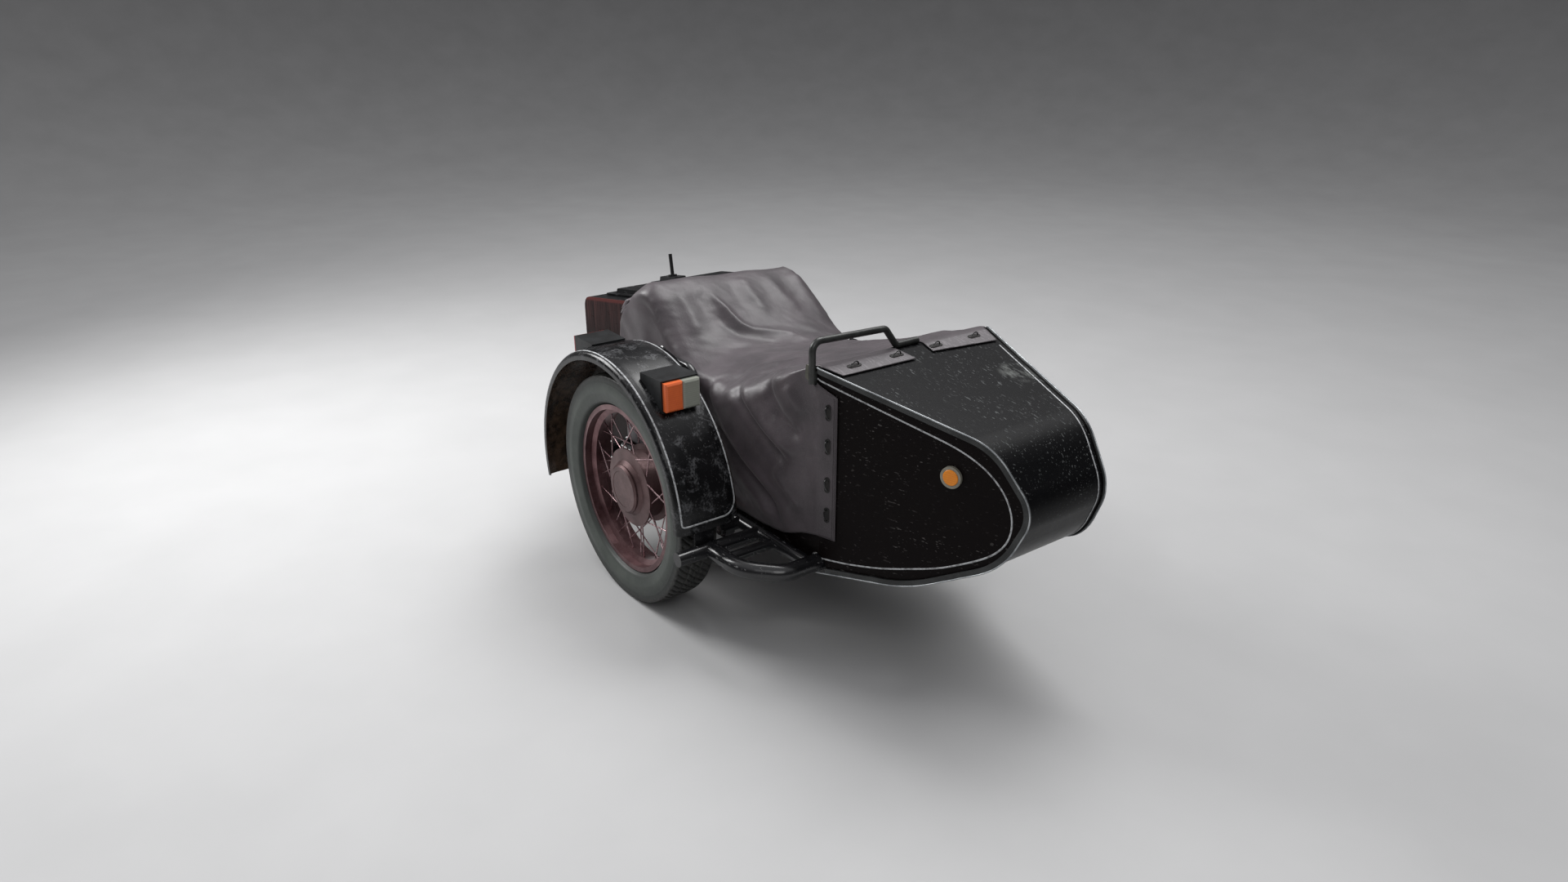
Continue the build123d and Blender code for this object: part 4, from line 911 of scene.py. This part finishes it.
def trim_handle_notch(bm):
    rear, front = HANDLE_NOTCH_X

    def beside(p):
        return 0.57 < p.x < 0.625 and p.y < 0.30 and p.z > 0.42

    slice_region(bm, (rear, 0, 0), (1, 0, 0), beside)
    slice_region(bm, (0, HANDLE_NOTCH_Y, 0), (0, 1, 0), beside)
    slice_region(bm, (0, 0, HANDLE_NOTCH_Z), (0, 0, 1), beside)
    drop_region(bm, lambda p: rear < p.x < front and p.y < HANDLE_NOTCH_Y and p.z > HANDLE_NOTCH_Z)


def trim_front_notch(bm):
    (right, right_slant), (left, left_slant) = NOTCH_SIDES

    def above(p):
        return p.x > 0.56 and abs(p.y - BODY_MIDDLE) < 0.12 and p.z > 0.4

    def inside(p):
        ahead = p.x - NOTCH_X
        return ahead > 0 and p.z > 0.4 and right + right_slant * ahead < p.y < left + left_slant * ahead

    slice_region(bm, (NOTCH_X, 0, 0), (1, 0, 0), above)
    for y, slant in NOTCH_SIDES:
        slice_region(bm, (NOTCH_X, y, 0), (slant, -1, 0), above)
    drop_region(bm, inside)


def trim_band_front(bm, sign, x, y, slant):
    def band(p):
        return p.x > 0.64 and p.z > 0.44 and sign * (p.y - BODY_MIDDLE) > 0

    slice_region(bm, (x, y, 0), (1, -slant, 0), band)
    drop_region(bm, lambda p: band(p) and p.x > x + slant * (p.y - y))


def trim_cover(bm):
    """Cuts the cover's edges and its notches."""
    trim_at_trunk(bm)
    for sign in (-1, 1):
        trim_corner(bm, sign)
    trim_flap_fronts(bm)
    trim_handle_notch(bm)
    trim_front_notch(bm)
    for sign, edge in zip((-1, 1), BAND_FRONTS):
        trim_band_front(bm, sign, *edge)


def make_cover():
    """One draped sheet over the cockpit with a flap down each side."""
    grid = cover_grid()
    outward = unit(np.cross(np.gradient(grid, axis=0), np.gradient(grid, axis=1))).reshape(-1, 3)
    flat = grid.reshape(-1, 3)
    moved = flat + outward * cover_shift(flat, outward)[:, None]
    # the flaps stay outside the body's sides
    side = np.sign(moved[:, 1] - BODY_MIDDLE)
    reach = half_width(moved[:, 0]) + CLOTH_THICK + 0.0006
    under = moved[:, 2] < body_height(moved[:, 0]) + 0.004
    clear = BODY_MIDDLE + side * np.maximum(reach, side * (moved[:, 1] - BODY_MIDDLE))
    moved[:, 1] = np.where(under & (np.abs(outward[:, 1]) > 0.5), clear, moved[:, 1])
    piece = mesh_piece("cover_sheet", moved, grid_faces(*grid.shape[:2]), "cover_leatherette",
                       replaces=("cover_top", "cover_flap_right", "cover_flap_left"))
    bm = bmesh.new()
    bm.from_mesh(piece.data)
    trim_cover(bm)
    loose = [v for v in bm.verts if not v.link_faces]
    bmesh.ops.delete(bm, geom=loose, context="VERTS")
    bm.to_mesh(piece.data)
    bm.free()
    piece.data.shade_smooth()
    solid = piece.modifiers.new("thickness", "SOLIDIFY")
    solid.thickness = CLOTH_THICK
    solid.offset = -1
    bpy.context.view_layer.objects.active = piece
    piece.select_set(True)
    bpy.ops.object.modifier_apply(modifier="thickness")
    return piece


# Painted lines, and a pale bar as the bead's painted highlight

PIN_STRIPE = [
    (0.608, 0.4600), (0.700, 0.4380), (0.876, 0.3970), (0.985, 0.3720), (1.050, 0.3450), (1.100, 0.3020),
    (1.128, 0.2500), (1.132, 0.1900), (1.112, 0.1480), (1.072, 0.1120), (0.959, 0.0480), (0.806, -0.0050),
    (0.700, -0.0270), (0.604, -0.0360),
]
BEAD_PROUD = 0.006
TOP_LINE_INSET = 0.016


def outline_line(inset, start_x):
    """The body's side outline in front of an x, moved inwards."""
    line = even(rounded(BODY_LOWER + BODY_UPPER, True), 0.004)
    tangent = unit(np.gradient(line, axis=0))
    inward = np.stack((-tangent[:, 1], tangent[:, 0]), axis=1)
    moved = line + inward * inset
    return moved[moved[:, 0] > start_x][::-1]


def make_side_lines():
    """On both sides the pin stripe, and along the bead's top edge a pale bar that is a painted highlight.
    """
    stripe = even(soften(even(PIN_STRIPE, 0.012), 12), 0.006)
    highlight_line = outline_line(-0.0042, 0.612)
    for sign, side in ((-1, "right"), (1, "left")):
        line, out = on_side(stripe, sign, 0.0005)
        ribbon(f"pin_stripe_{side}", line, out, 0.0048)
        line, out = on_side(highlight_line, sign, BEAD_PROUD)
        up = unit(np.cross(np.gradient(line, axis=0), out))
        up *= np.sign(up[:1, 2:])
        made = tube(line + 0.0006 * out + 0.0004 * up, 0.0019, 8)
        mesh_piece(f"bead_highlight_bar_{side}", *made, "bead_silver")


def make_top_line():
    """A line along the nose sheet, just inside its left edge."""
    line = outline_line(-0.0006, 0.70)
    line = line[line[:, 1] > 0.02]
    y = BODY_MIDDLE + half_width(line[:, 0]) - TOP_LINE_INSET
    points = np.stack((line[:, 0], y, line[:, 1]), axis=1)
    tangent = np.gradient(line, axis=0)
    out = unit(np.stack((-tangent[:, 1], np.zeros(len(line)), tangent[:, 0]), axis=1))
    out *= np.sign(out[:1, 2:])
    ribbon("top_line_left", points, out, 0.0042)


def fender_surface(angle, y):
    """Points and outward directions on the fender's outer face."""
    rows = [(FENDER_EDGE_RADIUS, FENDER_LOW_Y, 0), (FENDER_RADIUS, FENDER_LOW_Y + 0.034, 0.060),
            (FENDER_RADIUS, FENDER_HIGH_Y - 0.034, 0.060), (FENDER_EDGE_RADIUS, FENDER_HIGH_Y, 0)]
    profile = rounded(rows, step=0.003)
    radius = np.interp(y, profile[:, 1], profile[:, 0])
    slope = np.interp(y, profile[:, 1], np.gradient(profile[:, 0], profile[:, 1]))
    c, s = np.cos(angle), np.sin(angle)
    points = np.stack((FENDER_CENTRE[0] + radius * c, y, FENDER_CENTRE[1] + radius * s), axis=1)
    return points, unit(np.stack((c, -slope, s), axis=1))


def make_fender_lines():
    """The stripe that follows both edges of the fender and crosses its front end."""
    front = math.radians(2) * FENDER_RADIUS + 0.024
    rear = math.radians(190) * FENDER_RADIUS
    low, high = FENDER_LOW_Y + 0.013, FENDER_HIGH_Y - 0.012
    path = rounded([(rear, low, 0), (front, low, 0.006), (front, high, 0.044), (rear, high, 0)])
    path = even(path, 0.006)
    points, out = fender_surface(path[:, 0] / FENDER_RADIUS, path[:, 1])
    ribbon("fender_stripe", points + out * 0.0004, out, 0.0052)


# Turn hooks in the cover's slots. The slot is two half circles and what lies between them.

FLAP_HOOK_X = 0.648
FLAP_HOOK_Z = (0.381, 0.290, 0.185, 0.100)
TOP_HOOK_X = 0.644
TOP_HOOK_Y = (0.342, 0.484, 0.623, 0.766)
TOP_HOOK_LIFT = 0.0064
SLOT_HALF = 0.0140
SLOT_RADIUS = 0.0070
SLOT_POINTS = 28
# The hook's bar: distance along the slot, height above it and distance beside its middle
HOOK_BAR = [
    (0.0150, -0.001, 0.0), (0.0140, 0.006, -0.002), (0.0080, 0.0088, -0.003), (-0.0020, 0.0088, -0.001),
    (-0.0110, 0.0070, 0.002), (-0.0145, 0.0030, 0.003),
]


def hook(centre, long_way, out):
    """A slot's rim, a dark sheet of painted shade in its opening, and the hook that turns in it."""
    centre, long_way, out = (np.array(v, dtype=float) for v in (centre, long_way, out))
    long_way, out = unit(long_way), unit(out)
    short = np.cross(long_way, out)
    loop = []
    for k in range(SLOT_POINTS):
        angle = 2 * math.pi * k / SLOT_POINTS
        end = SLOT_HALF if math.sin(angle) > 0 else -SLOT_HALF
        loop.append(centre + long_way * (end + SLOT_RADIUS * math.sin(angle))
                    + short * SLOT_RADIUS * math.cos(angle))
    rim = tube(np.array([*loop, loop[0]]), 0.0011, 6)
    # a dark sheet over the opening as painted shade
    shade_sheet = ([p + out * 0.0003 for p in loop], [tuple(range(SLOT_POINTS))])
    bar = [centre + long_way * a + out * b + short * c for a, b, c in HOOK_BAR]
    return rim, shade_sheet, tube(soften(even(bar, 0.0016), 3), 0.0017, 8)


def make_hooks():
    """The hooks of both flaps and of the front bands, as three pieces."""
    places = []
    for sign in (-1, 1):
        line, out = on_side([(FLAP_HOOK_X, z) for z in FLAP_HOOK_Z], sign, CLOTH_THICK + 0.0034)
        places += [(p, (0, 0, 1), o) for p, o in zip(line, out)]
    height = body_height(TOP_HOOK_X) + TOP_HOOK_LIFT
    places += [((TOP_HOOK_X, y, height), (0, 1, 0), (0.2, 0, 1)) for y in TOP_HOOK_Y]
    rims, shade_sheets, turns = zip(*(hook(*row) for row in places))
    return [
        mesh_piece("hook_rims", *joined(rims), "slot_dark"),
        mesh_piece("hook_slot_shade", *joined(shade_sheets), "slot_dark"),
        mesh_piece("turn_hooks", *joined(turns), "hook_metal", replaces=("cover_buttons",)),
    ]


def make_flap_edges():
    """The two fine welts along each flap's front edge."""
    made = []
    for sign, side in ((-1, "right"), (1, "left")):
        parts = []
        for inset in (0.0045, 0.0095):
            line = [(FLAP_FRONT_X - inset, z) for z in np.linspace(0.036, 0.420, 60)]
            points, out = on_side(line, sign, CLOTH_THICK + 0.0030)
            parts.append(tube(points, 0.0011, 6))
        made.append(mesh_piece(f"flap_welts_{side}", *joined(parts), "cover_leatherette"))
    return made


# The handle's foot plate: outline in x and z with corner radii, and its two faces' y
FOOT_PLATE = [(0.568, 0.455, 0.004), (0.586, 0.447, 0.003), (0.586, 0.487, 0.003), (0.572, 0.492, 0.005)]
FOOT_PLATE_Y = (0.2468, 0.2492)


def make_foot_plate():
    """Small plate between the handle's outer leg and the cover."""
    ring = rounded(FOOT_PLATE, True, 0.001)[:-1]
    points = [(x, y, z) for y in FOOT_PLATE_Y for x, z in ring]
    count = len(ring)
    faces = [(k, (k + 1) % count, count + (k + 1) % count, count + k) for k in range(count)]
    faces += [tuple(range(count))[::-1], tuple(range(count, 2 * count))]
    piece = mesh_piece("handle_foot_plate", points, faces, "foot_plate")
    piece.data.shade_flat()


# The tyre: half width, height of its section, the rim flange's depth, gap to the rim, wall, tread

TYRE_HALF = 0.0635
SECTION_HEIGHT = 0.091
FLANGE_DEPTH = 0.011
RIM_GAP = 0.0003
CROWN_WALL = 0.018
TREAD_DEPTH = 0.0045
GROOVES = 84
STEPS_ROUND = 9 * GROOVES


def tread_depth(angle, across):
    """Depth of the grooves at an angle and a distance from the tyre's middle."""
    arc = angle * TYRE_RADIUS
    pitch = 2 * math.pi * TYRE_RADIUS / GROOVES
    lean = np.where(across > 0, 1, -1) * 0.8
    turn = (arc + lean * np.abs(across) * 1.3) / pitch
    away = np.abs((turn + 0.5) % 1 - 0.5) * pitch
    slanted = 1 - ease(away, 0.0021, 0.0037)
    outer = 1 - ease(np.abs(np.abs(across) - 0.019), 0.0014, 0.0030)
    middle = 1 - ease(np.abs(across + 0.0012 * np.sin(angle * 2 * GROOVES)), 0.0012, 0.0028)
    depth = np.maximum(slanted, np.maximum(outer, middle))
    return TREAD_DEPTH * depth * (1 - ease(np.abs(across), 0.050, 0.0595))


def make_tyre():
    """The tyre as a closed ring, with grooves in its tread and a welt at its shoulder."""
    flange = TYRE_RADIUS - SECTION_HEIGHT
    seat = flange - FLANGE_DEPTH + RIM_GAP
    outer = [
        (seat, 0.0397, 0), (flange + 0.0018, 0.0397, 0.0027), (flange + 0.0082, 0.0553, 0.008),
        (TYRE_RADIUS - 0.050, TYRE_HALF - 0.0002, 0.030), (TYRE_RADIUS - 0.0032, 0.0598, 0.006),
        (TYRE_RADIUS - 0.0001, 0.0349, 0.036),
    ]
    low = [(r, -y, bend) for r, y, bend in outer]
    profile = even(rounded(low + outer[::-1], step=0.002), 0.0026)
    inner = [(seat + 0.02, 0.027), (TYRE_RADIUS - 0.050, 0.052), (TYRE_RADIUS - CROWN_WALL, 0.048)]
    inner += [(r, -y) for r, y in inner[::-1]]
    profile = np.concatenate((profile, inner))
    angle = np.linspace(0, 2 * math.pi, STEPS_ROUND, endpoint=False)[:, None]
    radius, across = profile.T
    crown = ease(radius, TYRE_RADIUS - 0.014, TYRE_RADIUS - 0.006)
    deep = radius - tread_depth(angle, across) * crown
    welt = 0.0007 * np.exp(-(((radius - (TYRE_RADIUS - 0.024)) / 0.0018) ** 2))
    y = np.broadcast_to(TYRE_HALF + across + np.sign(across) * (welt - 0.0007), deep.shape)
    points = np.stack((deep * np.cos(angle), y, deep * np.sin(angle)), axis=2).reshape(-1, 3)
    faces = grid_faces(STEPS_ROUND, len(profile), close_rows=True, close_columns=True)
    tyre = mesh_piece("tyre_casing", points, faces, "tyre_rubber", body="wheel", replaces=("tyre",))


# Seat cushion and backrest under the cover

PAD_SHARE = 0.94
PAD_VOXEL = 0.011
PAD_SWELL = 0.016
SEAMS = (-0.6, -0.2, 0.2, 0.6)
SEAM_WIDTH = 0.035
SEAM_DEPTH = 0.012


def mesh_points(piece):
    return np.array([v.co[:] for v in piece.data.vertices])


def apply_modifier(name):
    bpy.ops.object.modifier_apply(modifier=name)


def swell(pad):
    """Blows a pad up as a cloth bag under pressure, no point farther than the limit."""
    rest = mesh_points(pad)
    cloth = pad.modifiers.new("cloth", "CLOTH")
    cloth.settings.effector_weights.gravity = 0
    cloth.settings.use_pressure = True
    cloth.settings.uniform_pressure_force = 4
    cloth.settings.quality = 5
    cloth.point_cache.frame_end = 20
    for step in range(1, 21):
        SCENE.frame_set(step)
    apply_modifier("cloth")
    SCENE.frame_set(1)
    move = mesh_points(pad) - rest
    length = np.linalg.norm(move, axis=1, keepdims=True)
    move *= np.minimum(1, PAD_SWELL / np.maximum(length, 1e-9))
    pad.data.vertices.foreach_set("co", (rest + move).reshape(-1))


def make_pad(node, name, thick_axis):
    """A padded piece in a node's box: crowned, with pulled-in seams along its length."""
    low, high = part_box(node)
    middle = (low + high) / 2
    size = high - low
    bpy.ops.mesh.primitive_cube_add(size=1, location=middle)
    pad = bpy.context.object
    pad.name = name
    pad.scale = [PAD_SHARE * v for v in size]
    bpy.ops.object.transform_apply(location=True, rotation=False, scale=True)
    remesh = pad.modifiers.new("remesh", "REMESH")
    remesh.mode = "VOXEL"
    remesh.voxel_size = PAD_VOXEL
    apply_modifier("remesh")
    swell(pad)
    points = mesh_points(pad)
    share = (points - np.array(middle)) / np.array(size / 2)
    seam = sum(np.exp(-(((share[:, 1] - seam_at) / SEAM_WIDTH) ** 2)) for seam_at in SEAMS)
    points[:, thick_axis] -= SEAM_DEPTH * seam * ease(share[:, thick_axis], 0.35, 0.8)
    limit_low, limit_high = np.array(low) + 0.001, np.array(high) - 0.001
    pad.data.vertices.foreach_set("co", np.clip(points, limit_low, limit_high).reshape(-1))
    pad.data.update()
    fine = pad.modifiers.new("fine", "SUBSURF")
    fine.levels = fine.render_levels = 1
    apply_modifier("fine")
    pad.data.shade_smooth()
    pad.data.materials.append(MATERIALS["seat_leather"])
    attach(pad, "chassis")
    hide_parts(node)


# Stage: how far the floor is flat, and the radius of its curve up into the wall

FLOOR_FLAT = 7.0
WALL_CURVE = 5.0
STAGE_STEPS = 96


def make_stage():
    """A pale floor that curves up into a wall all round, far from the sidecar, painted darker with distance
    as a pool of light round the sidecar.
    """
    material, tree, shader = new_material("floor")
    coords = place(tree)
    x, y, z = split(coords)
    distance = (x * x + y * y).maths("SQRT")
    # painted pool of light: lighter near the sidecar, darker far out
    tone = clouds(coords, 3, 4) * 0.05 + 0.44 - ramp(distance, 1.5, 11.0) * 0.24
    grey = add(tree, "ShaderNodeCombineColor", 0, {"Red": tone, "Green": tone, "Blue": tone})
    connect(shader, {"Base Color": grey, "Roughness": 0.95, "Specular IOR Level": 0.1})
    profile = [(0.0, 0.0), (2.0, 0.0), (4.0, 0.0), (FLOOR_FLAT, 0.0)]
    for lift in np.linspace(0.15, 1.45, 10):
        profile.append((FLOOR_FLAT + WALL_CURVE * math.sin(lift), WALL_CURVE * (1 - math.cos(lift))))
    points = []
    for radius, height in profile:
        for k in range(STAGE_STEPS):
            angle = 2 * math.pi * k / STAGE_STEPS
            points.append((radius * math.cos(angle), radius * math.sin(angle), FLOOR_Z + height))
    faces = grid_faces(len(profile), STAGE_STEPS, close_columns=True)
    smooth_mesh("floor", points, faces, material)


def make_world():
    """Soft sky, darker towards the horizon."""
    world = bpy.data.worlds.new("studio")
    SCENE.world = world
    world.use_nodes = True
    tree = world.node_tree
    x, y, z = split(add(tree, "ShaderNodeTexCoord", "Generated", {}))
    colour = blend_color(ramp(z, 0.30, 0.95), (0.12, 0.12, 0.125), (1.2, 1.2, 1.24))
    connect(tree.nodes["Background"], {"Color": colour, "Strength": 0.55})


def area_light(name, stand, target, size, power):
    data = bpy.data.lights.new(name, "AREA")
    data.shape = "RECTANGLE"
    data.size, data.size_y = size
    data.energy = power
    light = new_object(name, data)
    light.location = stand
    light.rotation_mode = "QUATERNION"
    light.rotation_quaternion = (Vector(target) - Vector(stand)).to_track_quat("-Z", "Y")


def make_lights():
    """Three soft lights and a weak sun without a sharp shadow."""
    middle = (0.5, -0.5, 0.2)
    area_light("back", (-2.2, -2.2, 2.3), (0.2, -0.7, 0.35), (1.7, 1.7), 115)
    area_light("top", (0.2, 0.6, 3.6), middle, (2.4, 1.6), 70)
    area_light("front", (3.4, -2.8, 2.6), middle, (2.4, 1.8), 28)
    data = bpy.data.lights.new("sun", "SUN")
    data.energy = 0.9
    data.angle = math.radians(50)
    new_object("sun", data).rotation_euler = (math.radians(-28), math.radians(-12), 0)


make_camera()
dress_cad_nodes()
cover = make_cover()
make_side_lines()
make_top_line()
make_fender_lines()
hooks = make_hooks()
welts = make_flap_edges()
make_foot_plate()
make_tyre()
make_pad("seat_cushion", "seat_pad", 2)
make_pad("backrest", "back_pad", 0)
make_stage()
make_world()
make_lights()
SCENE.view_settings.view_transform = "Standard"
